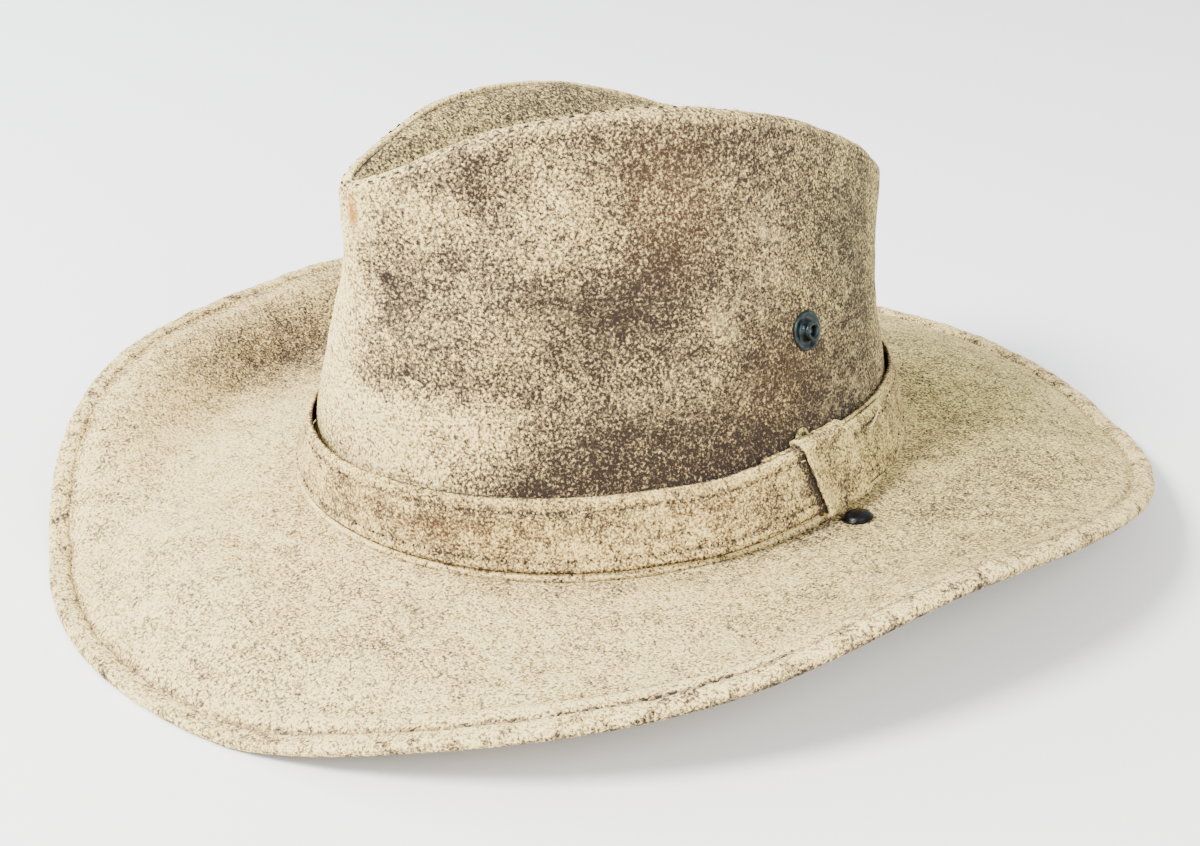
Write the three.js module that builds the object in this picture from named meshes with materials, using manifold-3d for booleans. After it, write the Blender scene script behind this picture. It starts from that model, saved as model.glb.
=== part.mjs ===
// A worn suede bush hat: a tall crown pinched at the front, a wide hemmed brim, a hat band that
// overlaps itself under a keeper loop, and two press studs on the wearer's left side.
// Millimetres, +Z up. The front of the hat looks towards -Y and the wearer's left is +X.
// Angles go round the hat in degrees, from the front (0) over the wearer's left (90) to the back (180).
import * as THREE from 'three';
import { mergeVertices } from 'three/addons/utils/BufferGeometryUtils.js';
import Module from 'manifold-3d';

const wasm = await Module();
wasm.setup();

// Head opening and crown
const headLength = 202;       // inside length of the opening, a 58 cm head
const headWidth = 166;        // inside width of the opening
const headEgg = 0.03;         // share by which the opening is narrower in front
const crownLeather = 2;       // thickness of the crown's side and tip
const crownHeight = 128.5;    // from the mean foot of the crown to full ridge height
const ridgeLength = 199;      // length of the ridge seen from above
const ridgeLeft = 56.5;       // reach of the ridge to the wearer's left
const ridgeRight = 41.5;      // reach of the ridge to the wearer's right, where the hat has sunk
const ridgeBack = 7;          // how far the ridge stands back over the opening
const ridgeEgg = 0.075;       // share by which the ridge is narrower in front
const frontPinch = 0.29;      // share that the pinch takes off the ridge's width in front
const shoulderRadius = 4.5;   // rounding where the side turns over into the tip
const creaseLength = 166;     // length of the crease pushed into the tip
const wallBelly = 0.02;       // share by which the side leans in early
const footFlare = 5;          // how far the foot of the crown turns out to the brim
const flareHeight = 14;       // height of that turn

// Brim and its hem
const brimWidth = 84.5;       // leather from the crown to the hem's edge
const brimLeather = 2.2;
const brimReach = 0.98;       // share of the leather's width that its curl leaves in plan
const footHeight = 16.8;      // mean height of the brim at the crown over the floor
const hemWidth = 6.8;         // the stitched, folded edge
const hemHeight = 4.2;
const hemFlat = 3.6;          // width of the hem's flat upper and lower faces
const hemSide = 0.45;         // share of the hem's height that its upright sides take
const brimTuck = 1;           // how far the brim's inner edge shows inside the crown's foot
const brimFall = 1.4;         // over 1, the brim leaves the crown more level than it meets the hem

// Hat band and keeper
const bandWidth = 20.5;
const bandLeather = 1.5;
const bandLift = 2.2;         // from the brim up to the band
const bandSlack = 2.2;        // how far the band's upper edge stands off where it is loosest
const bandStart = 90;         // angle of the hidden inner end
const bandEnd = 127;          // angle of the visible outer end
const bandLead = 21;          // degrees before the inner end at which the band starts to climb
const bandRamp = 14;          // degrees over which it climbs onto its own inner end
const tabCorner = 7;          // cut of the visible end's upper corner
const tabLowerCorner = 5.6;   // cut of its lower corner
const keeperAngle = 105.5;    // middle of the keeper
const keeperWidth = 18;
const keeperLeather = 1.0;
const keeperSlack = 0.35;     // room between the band and the inside of the keeper
const keeperClear = 0.8;      // more room behind it for the turned foot of the crown
const keeperLift = 2.3;       // more height there, for the snap's cap under the keeper
const keeperRoom = keeperLeather + keeperSlack + keeperClear;
const keeperNear = 7;         // degrees each side of the keeper that stand off and up in full
const keeperSpan = 20;        // degrees over which the band eases back to the crown

// Press studs
const studAngle = 103.5;
const studUp = 0.49;          // share of the crown's side at which the stud sits
const studFlange = 12.6;      // diameter of the outer plate
const studPost = 6.2;         // diameter of the raised post
const studSocket = 3;         // bore of the post
const studRise = 3.4;         // from the leather to the end of the post
const studPlate = 1.1;        // thickness of the plates on both faces of the leather
const studRim = 1.4;          // width of the raised rim round the outer plate
const studEdge = 0.4;         // rounding of the metal's edges
const studBack = 9.4;         // diameter of the hidden plate
const studShank = 3.4;        // shank through the leather
const snapAngle = 105;
const snapOut = 14;           // from the crown's foot to the middle of the brim's snap
const snapCap = 10;
const snapDome = 2.6;         // height of the cap's middle over the leather

const gap = 0.3;              // clearance between neighbouring pieces
const shankPlay = 0.4;        // clearance round a shank in its hole
const drillDepth = 20;        // long enough to pass the leather, short of the far wall

const stepsRound = 72;        // sections round the hat
const studSteps = 20;         // sections round a stud
const drillSteps = 16;

// Height of the crown's foot, as a share of footHeight
const footRows = [
  { at: 0, lift: 1.13 },
  { at: 60, lift: 0.82 },
  { at: 120, lift: 0.89 },
  { at: 180, lift: 0.84 },
  { at: 240, lift: 1.05 },
  { at: 300, lift: 1.27 },
];

// The brim by angle, as shares of brimWidth: rise of the hem over the floor, and how far the inner,
// middle and outer leather leaves a smooth run from the crown to the hem
const brimRows = [
  { at: -14, rise: -0.02, inner: 0.0, middle: 0.03, outer: 0.02 },
  { at: 18, rise: -0.02, inner: 0.01, middle: 0.04, outer: 0.03 },
  { at: 42, rise: 0.15, inner: 0.0, middle: 0.0, outer: 0.0 },
  { at: 66, rise: 0.27, inner: -0.01, middle: -0.03, outer: -0.03 },
  { at: 90, rise: 0.41, inner: -0.01, middle: -0.04, outer: -0.04 },
  { at: 112, rise: 0.33, inner: 0.0, middle: -0.02, outer: -0.03 },
  { at: 136, rise: 0.13, inner: 0.02, middle: 0.03, outer: 0.01 },
  { at: 162, rise: -0.02, inner: 0.02, middle: 0.04, outer: 0.03 },
  { at: 190, rise: -0.04, inner: 0.01, middle: 0.03, outer: 0.02 },
  { at: 218, rise: -0.02, inner: 0.0, middle: 0.02, outer: 0.02 },
  { at: 242, rise: 0.13, inner: -0.01, middle: 0.0, outer: 0.0 },
  { at: 266, rise: 0.34, inner: -0.05, middle: -0.06, outer: -0.02 },
  { at: 292, rise: 0.36, inner: -0.09, middle: -0.12, outer: -0.01 },
  { at: 320, rise: 0.33, inner: -0.08, middle: -0.11, outer: 0.0 },
];

// Height of the ridge over footHeight as a share of crownHeight, and where the seam of the tip runs:
// 0 at the outer side of the shoulder, 1 on its top, over 1 inside the crease
const ridgeRows = [
  { at: 0, height: 0.84, seam: 0.9 },
  { at: 25, height: 0.88, seam: 0.98 },
  { at: 50, height: 0.97, seam: 1.0 },
  { at: 75, height: 0.995, seam: 1.04 },
  { at: 100, height: 0.93, seam: 1.08 },
  { at: 125, height: 0.81, seam: 1.08 },
  { at: 150, height: 0.68, seam: 1.06 },
  { at: 180, height: 0.65, seam: 1.0 },
  { at: 210, height: 0.69, seam: 1.0 },
  { at: 240, height: 0.76, seam: 1.0 },
  { at: 270, height: 0.89, seam: 1.02 },
  { at: 300, height: 0.915, seam: 1.03 },
  { at: 330, height: 0.865, seam: 1.0 },
];

// The crease from front (0) to back (1): height over footHeight as a share of crownHeight, and its
// sideways wander as a share of ridgeRight
const creaseRows = [
  { at: 0, height: 0.81, side: 0.0 },
  { at: 0.22, height: 0.75, side: 0.1 },
  { at: 0.5, height: 0.72, side: 0.16 },
  { at: 0.78, height: 0.67, side: 0.1 },
  { at: 1, height: 0.62, side: 0.04 },
];

// Soft dents (and, below zero, swellings) of the crown's side. up: share of the side's height,
// wide: degrees, tall: share of the height, deep: share of crownHeight
const crownDents = [
  { at: 34, up: 0.78, wide: 24, tall: 0.22, deep: 0.034 },
  { at: -34, up: 0.78, wide: 24, tall: 0.22, deep: 0.034 },
  { at: -6, up: 0.78, wide: 16, tall: 0.2, deep: 0.014 },
  { at: 150, up: 0.6, wide: 34, tall: 0.36, deep: 0.026 },
  { at: 205, up: 0.6, wide: 34, tall: 0.36, deep: 0.02 },
  { at: 62, up: 0.45, wide: 14, tall: 0.16, deep: 0.016 },
  { at: 24, up: 0.36, wide: 12, tall: 0.12, deep: 0.014 },
  { at: 48, up: 0.7, wide: 12, tall: 0.14, deep: -0.014 },
  { at: 36, up: 0.2, wide: 14, tall: 0.12, deep: -0.012 },
  { at: 88, up: 0.62, wide: 16, tall: 0.2, deep: -0.012 },
];

// How far the band's upper edge stands off the crown, as a share of bandSlack
const slackRows = [
  { at: -30, stand: 0.2 },
  { at: -10, stand: 0.8 },
  { at: 4, stand: 1.0 },
  { at: 16, stand: 0.6 },
  { at: 34, stand: 0.05 },
  { at: 75, stand: 0.0 },
  { at: 128, stand: 0.05 },
  { at: 146, stand: 0.6 },
  { at: 165, stand: 0.5 },
  { at: 190, stand: 0.05 },
  { at: 250, stand: 0.0 },
  { at: 300, stand: 0.05 },
];

// Shares of the way up the side, and over the tip from its seam to the crease
const sideLevels = [0, 0.03, 0.08, 0.16, 0.3, 0.45, 0.6, 0.74, 0.86, 0.95];
const tipLevels = [0, 0.12, 0.24, 0.36, 0.48, 0.62, 0.76, 0.88, 1];
const brimLevels = [0, 0.08, 0.18, 0.3, 0.42, 0.54, 0.66, 0.78, 0.9, 1];

const radians = THREE.MathUtils.degToRad;

function mix(from, to, share) {
  return from + (to - from) * share;
}

function ease(share) {
  const s = THREE.MathUtils.clamp(share, 0, 1);
  return s * s * (3 - 2 * s);
}

function hermite(from, to, slopeFrom, slopeTo, s) {
  const s2 = s * s;
  const s3 = s2 * s;
  return (2 * s3 - 3 * s2 + 1) * from + (s3 - 2 * s2 + s) * slopeFrom
    + (3 * s2 - 2 * s3) * to + (s3 - s2) * slopeTo;
}

// A smooth closed curve through one column of a table whose rows stand round the hat
function around(rows, column) {
  const count = rows.length;
  const row = (k) => rows[((k % count) + count) % count];
  const place = (k) => row(k).at + 360 * Math.floor(k / count);
  const slope = (k) => (row(k + 1)[column] - row(k - 1)[column]) / (place(k + 1) - place(k - 1));
  return (degrees) => {
    const turned = (((degrees - rows[0].at) % 360) + 360) % 360;
    const wrapped = rows[0].at + turned;
    let k = 0;
    while (place(k + 1) <= wrapped) k += 1;
    const span = place(k + 1) - place(k);
    const s = (wrapped - place(k)) / span;
    return hermite(row(k)[column], row(k + 1)[column], slope(k) * span, slope(k + 1) * span, s);
  };
}

// A smooth open curve through one column of a table
function along(rows, column) {
  const last = rows.length - 1;
  const slope = (k) => {
    const a = Math.max(k - 1, 0);
    const b = Math.min(k + 1, last);
    return (rows[b][column] - rows[a][column]) / (rows[b].at - rows[a].at);
  };
  return (place) => {
    let k = 0;
    while (k < last - 1 && rows[k + 1].at <= place) k += 1;
    const span = rows[k + 1].at - rows[k].at;
    const s = (place - rows[k].at) / span;
    return hermite(rows[k][column], rows[k + 1][column], slope(k) * span, slope(k + 1) * span, s);
  };
}

const footLift = around(footRows, 'lift');
const hemRise = around(brimRows, 'rise');
const brimInner = around(brimRows, 'inner');
const brimMiddle = around(brimRows, 'middle');
const brimOuter = around(brimRows, 'outer');
const ridgeShare = around(ridgeRows, 'height');
const seamShare = around(ridgeRows, 'seam');
const creaseHeight = along(creaseRows, 'height');
const creaseSide = along(creaseRows, 'side');
const slackShare = around(slackRows, 'stand');

// The crown's outer outline at the foot, with its outward direction
function footPlan(degrees) {
  const turn = radians(degrees);
  const halfLength = headLength / 2 + crownLeather;
  const halfWidth = headWidth / 2 + crownLeather;
  const sine = Math.sin(turn);
  const cosine = Math.cos(turn);
  const point = new THREE.Vector2(halfWidth * sine * (1 - headEgg * cosine), -halfLength * cosine);
  const alongX = halfWidth * (cosine * (1 - headEgg * cosine) + headEgg * sine * sine);
  const alongY = halfLength * sine;
  const outward = new THREE.Vector2(alongY, -alongX).normalize();
  return { point, outward };
}

function ridgePoint(degrees) {
  const turn = radians(degrees);
  const sine = Math.sin(turn);
  const cosine = Math.cos(turn);
  const reach = sine > 0 ? ridgeLeft : ridgeRight;
  const pinch = 1 - frontPinch * Math.max(0, cosine) ** 2;
  const x = reach * sine * (1 - ridgeEgg * cosine) * pinch;
  return new THREE.Vector2(x, ridgeBack - (ridgeLength / 2) * cosine);
}

function ridgePlan(degrees) {
  const ahead = ridgePoint(degrees + 1);
  const behind = ridgePoint(degrees - 1);
  const outward = new THREE.Vector2(ahead.y - behind.y, behind.x - ahead.x).normalize();
  return { point: ridgePoint(degrees), outward };
}

function footLevel(degrees) {
  return footHeight * footLift(degrees);
}

// Where the crown stands: just over the brim's upper face, under the whole of its turned foot
function crownFoot(degrees) {
  const outer = brimFace(degrees, footFlare / brimWidth).z;
  const highest = Math.max(footLevel(degrees), outer);
  return highest + brimLeather / 2 + gap;
}

function ridgeHeight(degrees) {
  return footHeight + crownHeight * ridgeShare(degrees);
}

function creasePoint(degrees) {
  const cosine = Math.cos(radians(degrees));
  const place = (1 - cosine) / 2;
  return new THREE.Vector3(
    ridgeRight * creaseSide(place),
    ridgeBack - (creaseLength / 2) * cosine,
    footHeight + crownHeight * creaseHeight(place),
  );
}

function dentDepth(degrees, up) {
  let deep = 0;
  for (const dent of crownDents) {
    const turned = ((degrees - dent.at + 540) % 360) - 180;
    const across = turned / dent.wide;
    const upward = (up - dent.up) / dent.tall;
    deep += dent.deep * Math.exp(-across * across - upward * upward);
  }
  return deep * crownHeight;
}

// The crown's outer face. level: 0 to 1 up the side, 1 to 2 over the shoulder, 2 to 3 down to the crease
function crownFace(degrees, level) {
  const foot = footPlan(degrees);
  const ridge = ridgePlan(degrees);
  const top = ridgeHeight(degrees);
  const up = Math.min(level, 1);
  const lean = up + wallBelly * Math.sin(Math.PI * up);
  const plan = foot.point.clone().lerp(ridge.point, lean);
  const outward = foot.outward.clone().lerp(ridge.outward, up).normalize();
  const bottom = crownFoot(degrees);
  const rise = (top - shoulderRadius - bottom) * up;
  const flare = footFlare * Math.max(0, 1 - rise / flareHeight) ** 2;
  const inner = THREE.MathUtils.clamp(level - 2, 0, 1);
  const dent = dentDepth(degrees, up) * (1 - ease(inner));
  plan.addScaledVector(outward, flare - dent);
  if (level <= 1) return new THREE.Vector3(plan.x, plan.y, bottom + rise);
  const bend = (Math.min(level, 2) - 1) * Math.PI / 2;
  plan.addScaledVector(ridge.outward, -shoulderRadius * (1 - Math.cos(bend)));
  const height = top - shoulderRadius * (1 - Math.sin(bend));
  if (level <= 2) return new THREE.Vector3(plan.x, plan.y, height);
  const crease = creasePoint(degrees);
  return new THREE.Vector3(
    mix(plan.x, crease.x, inner),
    mix(plan.y, crease.y, inner),
    mix(top, crease.z, ease(inner)),
  );
}

// The outward direction of a face given as a function of angle and level
function faceNormal(face, degrees, level, step, last) {
  const aheadLevel = Math.min(level + step, last);
  const behindLevel = Math.max(level - step, 0);
  const round = face(degrees + 1, level).sub(face(degrees - 1, level));
  const across = face(degrees, aheadLevel).sub(face(degrees, behindLevel));
  return round.cross(across).normalize();
}

function crownNormal(degrees, level) {
  if (level < 3) return faceNormal(crownFace, degrees, level, 0.01, 3);
  const near = faceNormal(crownFace, degrees, 2.97, 0.02, 3);
  const far = faceNormal(crownFace, -degrees, 2.97, 0.02, 3);
  return near.add(far).normalize();
}

// The level at which a point has gone the given distance over the crown's face
function movedLevel(degrees, level, distance) {
  const step = 0.01;
  const pace = crownFace(degrees, level).distanceTo(crownFace(degrees, level + step)) / step;
  return level + distance / pace;
}

// Middle of the brim's leather. out: 0 at the crown's foot, 1 at the middle of the hem
function hemCentre(degrees) {
  return hemHeight / 2 + brimWidth * Math.max(0, hemRise(degrees));
}

function brimFace(degrees, out) {
  const foot = footPlan(degrees);
  const start = footLevel(degrees);
  const end = hemCentre(degrees);
  const reach = Math.sqrt((brimWidth * brimReach) ** 2 - (end - start) ** 2) - hemWidth / 2;
  const bendRows = [
    { at: 0, bend: 0 },
    { at: 0.35, bend: brimInner(degrees) },
    { at: 0.6, bend: brimMiddle(degrees) },
    { at: 0.85, bend: brimOuter(degrees) },
    { at: 1, bend: 0 },
  ];
  const bend = out > 0 ? brimWidth * along(bendRows, 'bend')(out) : 0;
  const plan = foot.point.clone().addScaledVector(foot.outward, reach * out);
  const fall = Math.max(0, out) ** 1.4;
  return new THREE.Vector3(plan.x, plan.y, mix(start, end, fall) + bend);
}

// A closed skin over rings of equally many points. wrapRings closes the last ring onto the first.
function ringIndex(ringCount, ringSize, wrapRings) {
  const index = [];
  const spans = wrapRings ? ringCount : ringCount - 1;
  for (let ring = 0; ring < spans; ring += 1) {
    const here = ring * ringSize;
    const there = ((ring + 1) % ringCount) * ringSize;
    for (let k = 0; k < ringSize; k += 1) {
      const next = (k + 1) % ringSize;
      index.push(here + k, there + k, there + next);
      index.push(here + k, there + next, here + next);
    }
  }
  if (!wrapRings) {
    const last = (ringCount - 1) * ringSize;
    for (let k = 1; k < ringSize - 1; k += 1) {
      index.push(0, k, k + 1);
      index.push(last, last + k + 1, last + k);
    }
  }
  return index;
}

// A geometry from points and triangles, turned so that its faces point out
function solid(points, index) {
  let volume = 0;
  for (let k = 0; k < index.length; k += 3) {
    const [a, b, c] = [points[index[k]], points[index[k + 1]], points[index[k + 2]]];
    volume += a.dot(b.clone().cross(c));
  }
  const turned = [];
  for (let k = 0; k < index.length; k += 3) {
    const flip = volume < 0;
    turned.push(index[k], index[k + (flip ? 2 : 1)], index[k + (flip ? 1 : 2)]);
  }
  const geometry = new THREE.BufferGeometry();
  const position = new Float32Array(points.flatMap((point) => point.toArray()));
  geometry.setAttribute('position', new THREE.BufferAttribute(position, 3));
  geometry.setIndex(turned);
  geometry.computeVertexNormals();
  return geometry;
}

function ringSolid(sections, wrapRings) {
  return solid(sections.flat(), ringIndex(sections.length, sections[0].length, wrapRings));
}

function anglesRound() {
  return Array.from({ length: stepsRound }, (_, k) => (360 * k) / stepsRound);
}

// manifold-3d solids for cutting, and back
function toManifold(geometry) {
  const bare = geometry.clone();
  bare.deleteAttribute('normal');
  bare.deleteAttribute('uv');
  const merged = mergeVertices(bare, 1e-4);
  const vertProperties = new Float32Array(merged.attributes.position.array);
  const triVerts = new Uint32Array(merged.index.array);
  return new wasm.Manifold(new wasm.Mesh({ numProp: 3, vertProperties, triVerts }));
}

function fromManifold(shape) {
  const mesh = shape.getMesh();
  const geometry = new THREE.BufferGeometry();
  geometry.setAttribute('position', new THREE.BufferAttribute(mesh.vertProperties, 3));
  geometry.setIndex(new THREE.BufferAttribute(mesh.triVerts, 1));
  geometry.computeVertexNormals();
  return geometry;
}

function drilled(geometry, place, diameter) {
  const drill = new THREE.CylinderGeometry(diameter / 2, diameter / 2, drillDepth, drillSteps);
  drill.rotateX(Math.PI / 2);
  drill.applyQuaternion(place.turn);
  drill.translate(place.point.x, place.point.y, place.point.z);
  return fromManifold(toManifold(geometry).subtract(toManifold(drill)));
}

// Where a stud sits on a face: its point and the turn from +Z to the leather's normal
function seat(point, normal) {
  return { point, turn: new THREE.Quaternion().setFromUnitVectors(new THREE.Vector3(0, 0, 1), normal) };
}

function crownSeamLevel(degrees) {
  return 1 + seamShare(degrees);
}

function crownSideGeometry() {
  const straight = sideLevels[sideLevels.length - 1];
  const sections = anglesRound().map((degrees) => {
    const seam = crownSeamLevel(degrees);
    const levels = [...sideLevels, mix(straight, seam, 0.5), seam];
    const outer = levels.map((level) => crownFace(degrees, level));
    const inner = levels.map((level, k) => (
      outer[k].clone().addScaledVector(crownNormal(degrees, level), -crownLeather)
    ));
    inner[0].z = outer[0].z;
    return [...outer, ...inner.reverse()];
  });
  return ringSolid(sections, true);
}

// The tip: rings from the seam inwards, the last of which folds flat onto the crease
function crownTipGeometry() {
  const angles = anglesRound();
  const outerRings = [];
  const innerRings = [];
  for (const share of tipLevels) {
    const outer = [];
    const inner = [];
    for (const degrees of angles) {
      const start = movedLevel(degrees, crownSeamLevel(degrees), gap);
      const level = mix(start, 3, share);
      const point = crownFace(degrees, level);
      outer.push(point);
      inner.push(point.clone().addScaledVector(crownNormal(degrees, level), -crownLeather));
    }
    outerRings.push(outer);
    innerRings.push(inner);
  }
  const rings = [...outerRings.reverse(), ...innerRings];
  const points = rings.flat();
  const last = rings.length - 1;
  const folded = (ring, k) => {
    const turn = k % stepsRound;
    const onCrease = ring === 0 || ring === last;
    return ring * stepsRound + (onCrease ? Math.min(turn, stepsRound - turn) : turn);
  };
  const index = [];
  for (let ring = 0; ring < last; ring += 1) {
    for (let k = 0; k < stepsRound; k += 1) {
      const corners = [folded(ring, k), folded(ring, k + 1), folded(ring + 1, k + 1), folded(ring + 1, k)];
      index.push(corners[0], corners[1], corners[2]);
      index.push(corners[0], corners[2], corners[3]);
    }
  }
  return solid(points, index);
}

function brimGeometry() {
  const innerStart = footFlare - crownLeather - brimTuck;
  const hemGap = gap / brimWidth;
  const sections = anglesRound().map((degrees) => {
    const foot = footPlan(degrees);
    const top = [];
    const bottom = [];
    for (const share of brimLevels) {
      const out = share * (1 - hemGap);
      const middle = brimFace(degrees, out);
      const upright = share === 0 || share === 1;
      const normal = upright ? new THREE.Vector3(0, 0, 1) : brimNormal(degrees, out);
      if (share === 0) {
        middle.x += foot.outward.x * innerStart;
        middle.y += foot.outward.y * innerStart;
      }
      top.push(middle.clone().addScaledVector(normal, brimLeather / 2));
      bottom.push(middle.clone().addScaledVector(normal, -brimLeather / 2));
    }
    return [...top, ...bottom.reverse()];
  });
  return ringSolid(sections, true);
}

function brimNormal(degrees, out) {
  const normal = faceNormal(brimFace, degrees, out, 0.02, 1);
  return normal.z < 0 ? normal.negate() : normal;
}

// The hem: an eight-sided bead with level faces above and below, resting on its lowest stretches
function hemGeometry() {
  const halfWidth = hemWidth / 2;
  const halfHeight = hemHeight / 2;
  const halfFlat = hemFlat / 2;
  const halfSide = halfHeight * hemSide;
  const outline = [
    [halfWidth, -halfSide], [halfWidth, halfSide], [halfFlat, halfHeight], [-halfFlat, halfHeight],
    [-halfWidth, halfSide], [-halfWidth, -halfSide], [-halfFlat, -halfHeight], [halfFlat, -halfHeight],
  ];
  const sections = anglesRound().map((degrees) => {
    const { outward } = footPlan(degrees);
    const edge = brimFace(degrees, 1);
    const middle = new THREE.Vector3(outward.x, outward.y, 0).multiplyScalar(halfWidth).add(edge);
    return outline.map(([across, up]) => new THREE.Vector3(
      middle.x + outward.x * across,
      middle.y + outward.y * across,
      middle.z + up,
    ));
  });
  return ringSolid(sections, true);
}

// 1 at the keeper, where the band stands off and up to leave it room, 0 away from it
function keeperEase(degrees) {
  const away = Math.abs(((degrees - keeperAngle + 540) % 360) - 180);
  return 1 - ease((away - keeperNear) / keeperSpan);
}

// A point beside the crown at the band. turn: degrees from the front. up: 0 to 1 over the band's
// width. stand: how far out from the inner face of the band's inner layer.
function bandPlace(turn, up, stand) {
  const bottom = crownFoot(turn);
  const side = ridgeHeight(turn) - shoulderRadius - bottom;
  const near = keeperEase(turn);
  const lift = bandLift + keeperLift * near;
  const low = crownFace(turn, lift / side);
  const high = crownFace(turn, (lift + bandWidth) / side);
  const { outward } = footPlan(turn);
  const slack = bandSlack * Math.max(0, slackShare(turn)) * up;
  const out = gap + slack + keeperRoom * near + stand;
  const point = low.lerp(high, up);
  point.x += outward.x * out;
  point.y += outward.y * out;
  return point;
}

// A point of the band, whose turn runs past 360 on the outer layer
function bandPoint(turn, up, depth) {
  const climbed = ease((turn - (bandStart + 360 - bandLead)) / bandRamp);
  return bandPlace(turn, up, climbed * (bandLeather + gap) + bandLeather * depth);
}

function bandGeometry() {
  const firstTurn = bandStart;
  const lastTurn = bandEnd + 360;
  const spacing = 360 / stepsRound;
  const count = Math.ceil((lastTurn - firstTurn) / spacing);
  const perDegree = bandPoint(lastTurn, 1, 1).distanceTo(bandPoint(lastTurn - 1, 1, 1));
  const cutTurn = tabCorner / perDegree;
  const sections = [];
  for (let k = 0; k <= count; k += 1) {
    const turn = mix(firstTurn, lastTurn, k / count);
    const cut = Math.max(0, 1 - (lastTurn - turn) / cutTurn);
    const levels = [cut * tabLowerCorner / bandWidth, 1 - cut * tabCorner / bandWidth];
    const outer = levels.map((level) => bandPoint(turn, level, 1));
    const inner = levels.map((level) => bandPoint(turn, level, 0));
    sections.push([...outer, ...inner.reverse()]);
  }
  return ringSolid(sections, false);
}

// The keeper: a flat loop round both layers of the band, bent with it
function keeperGeometry() {
  const halfTurn = THREE.MathUtils.radToDeg(keeperWidth / headLength);
  const turns = [-1, -1 / 3, 1 / 3, 1].map((side) => keeperAngle + side * halfTurn);
  const edge = keeperLeather / bandWidth;
  const room = keeperSlack / bandWidth;
  const deep = 2 * bandLeather + gap + keeperSlack;
  const inside = [[-keeperSlack, -room], [-keeperSlack, 1 + room], [deep, 1 + room], [deep, -room]];
  const sections = inside.map(([stand, up]) => {
    const outStand = stand < 0 ? stand - keeperLeather : stand + keeperLeather;
    const outUp = up < 0 ? up - edge : up + edge;
    const within = turns.map((turn) => bandPlace(turn, up, stand));
    const without = turns.map((turn) => bandPlace(turn, outUp, outStand));
    return [...within, ...without.reverse()];
  });
  return ringSolid(sections, true);
}

// A press stud as one turned piece: a plate on the far face of the leather, a shank through it
// and a face plate with its raised middle. Zero height is the middle of the leather.
function studGeometry(leather, faceOutline) {
  const half = leather / 2 + gap;
  const outline = [
    [0, -half - studPlate], [studBack / 2, -half - studPlate], [studBack / 2, -half],
    [studShank / 2, -half], [studShank / 2, half],
    ...faceOutline.map(([radius, height]) => [radius, half + height]),
  ];
  const profile = outline.map(([radius, height]) => new THREE.Vector2(radius, height));
  const geometry = new THREE.LatheGeometry(profile, studSteps);
  geometry.rotateX(Math.PI / 2);
  return geometry;
}

function finish(colour, roughness, metalness) {
  return new THREE.MeshStandardMaterial({ color: colour, roughness, metalness });
}

const suede = finish(0x9c8468, 0.95, 0);
const paleSuede = finish(0xc9b793, 0.95, 0);
const bandSuede = finish(0xb89a72, 0.93, 0);
const darkMetal = finish(0x1d2426, 0.35, 0.8);
const blackEnamel = finish(0x0b0b0c, 0.2, 0.3);

const hat = new THREE.Group();

function add(name, geometry, material) {
  const mesh = new THREE.Mesh(geometry, material);
  mesh.name = name;
  hat.add(mesh);
  return mesh;
}

function placed(mesh, place) {
  mesh.position.copy(place.point);
  mesh.quaternion.copy(place.turn);
}

const studNormal = crownNormal(studAngle, studUp);
const studMiddle = crownFace(studAngle, studUp).addScaledVector(studNormal, -crownLeather / 2);
const studSeat = seat(studMiddle, studNormal);
const snapShare = snapOut / brimWidth;
const snapSeat = seat(brimFace(snapAngle, snapShare), brimNormal(snapAngle, snapShare));
const holeDiameter = studShank + 2 * shankPlay;

add('crown_side', drilled(crownSideGeometry(), studSeat, holeDiameter), suede);
add('crown_tip', crownTipGeometry(), suede);
add('brim', drilled(brimGeometry(), snapSeat, holeDiameter), paleSuede);
add('brim_hem', hemGeometry(), paleSuede);
add('hat_band', bandGeometry(), bandSuede);
add('band_keeper', keeperGeometry(), bandSuede);

// Radius and height over the leather, from the plate's edge in to the floor of the post's bore
const postFace = [
  [studFlange / 2 - studEdge, 0],
  [studFlange / 2, studPlate / 2],
  [studFlange / 2 - studEdge, studPlate],
  [studFlange / 2 - studRim, studPlate * 0.7],
  [studPost / 2 + studEdge, studPlate * 0.6],
  [studPost / 2, studRise / 2],
  [studPost / 2, studRise - studEdge],
  [studPost / 2 - studEdge, studRise],
  [studSocket / 2, studRise - studEdge / 2],
  [studSocket / 2, studPlate],
  [0, studPlate],
];
placed(add('crown_stud', studGeometry(crownLeather, postFace), darkMetal), studSeat);

const capFace = [
  [snapCap / 2 - studEdge, 0],
  [snapCap / 2, studEdge],
  [snapCap / 2 - studEdge, snapDome * 0.5],
  [snapCap * 0.34, snapDome * 0.85],
  [snapCap * 0.16, snapDome],
  [0, snapDome],
];
placed(add('brim_snap', studGeometry(brimLeather, capFace), blackEnamel), snapSeat);

// Stand the hat on the floor with its outline centred over the origin
const box = new THREE.Box3().setFromObject(hat);
const middle = box.getCenter(new THREE.Vector3());
hat.position.set(-middle.x, -middle.y, -box.min.z);

export default hat;
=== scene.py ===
import math
import random

import bpy
import numpy as np
from mathutils import Matrix, Vector, noise


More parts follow.
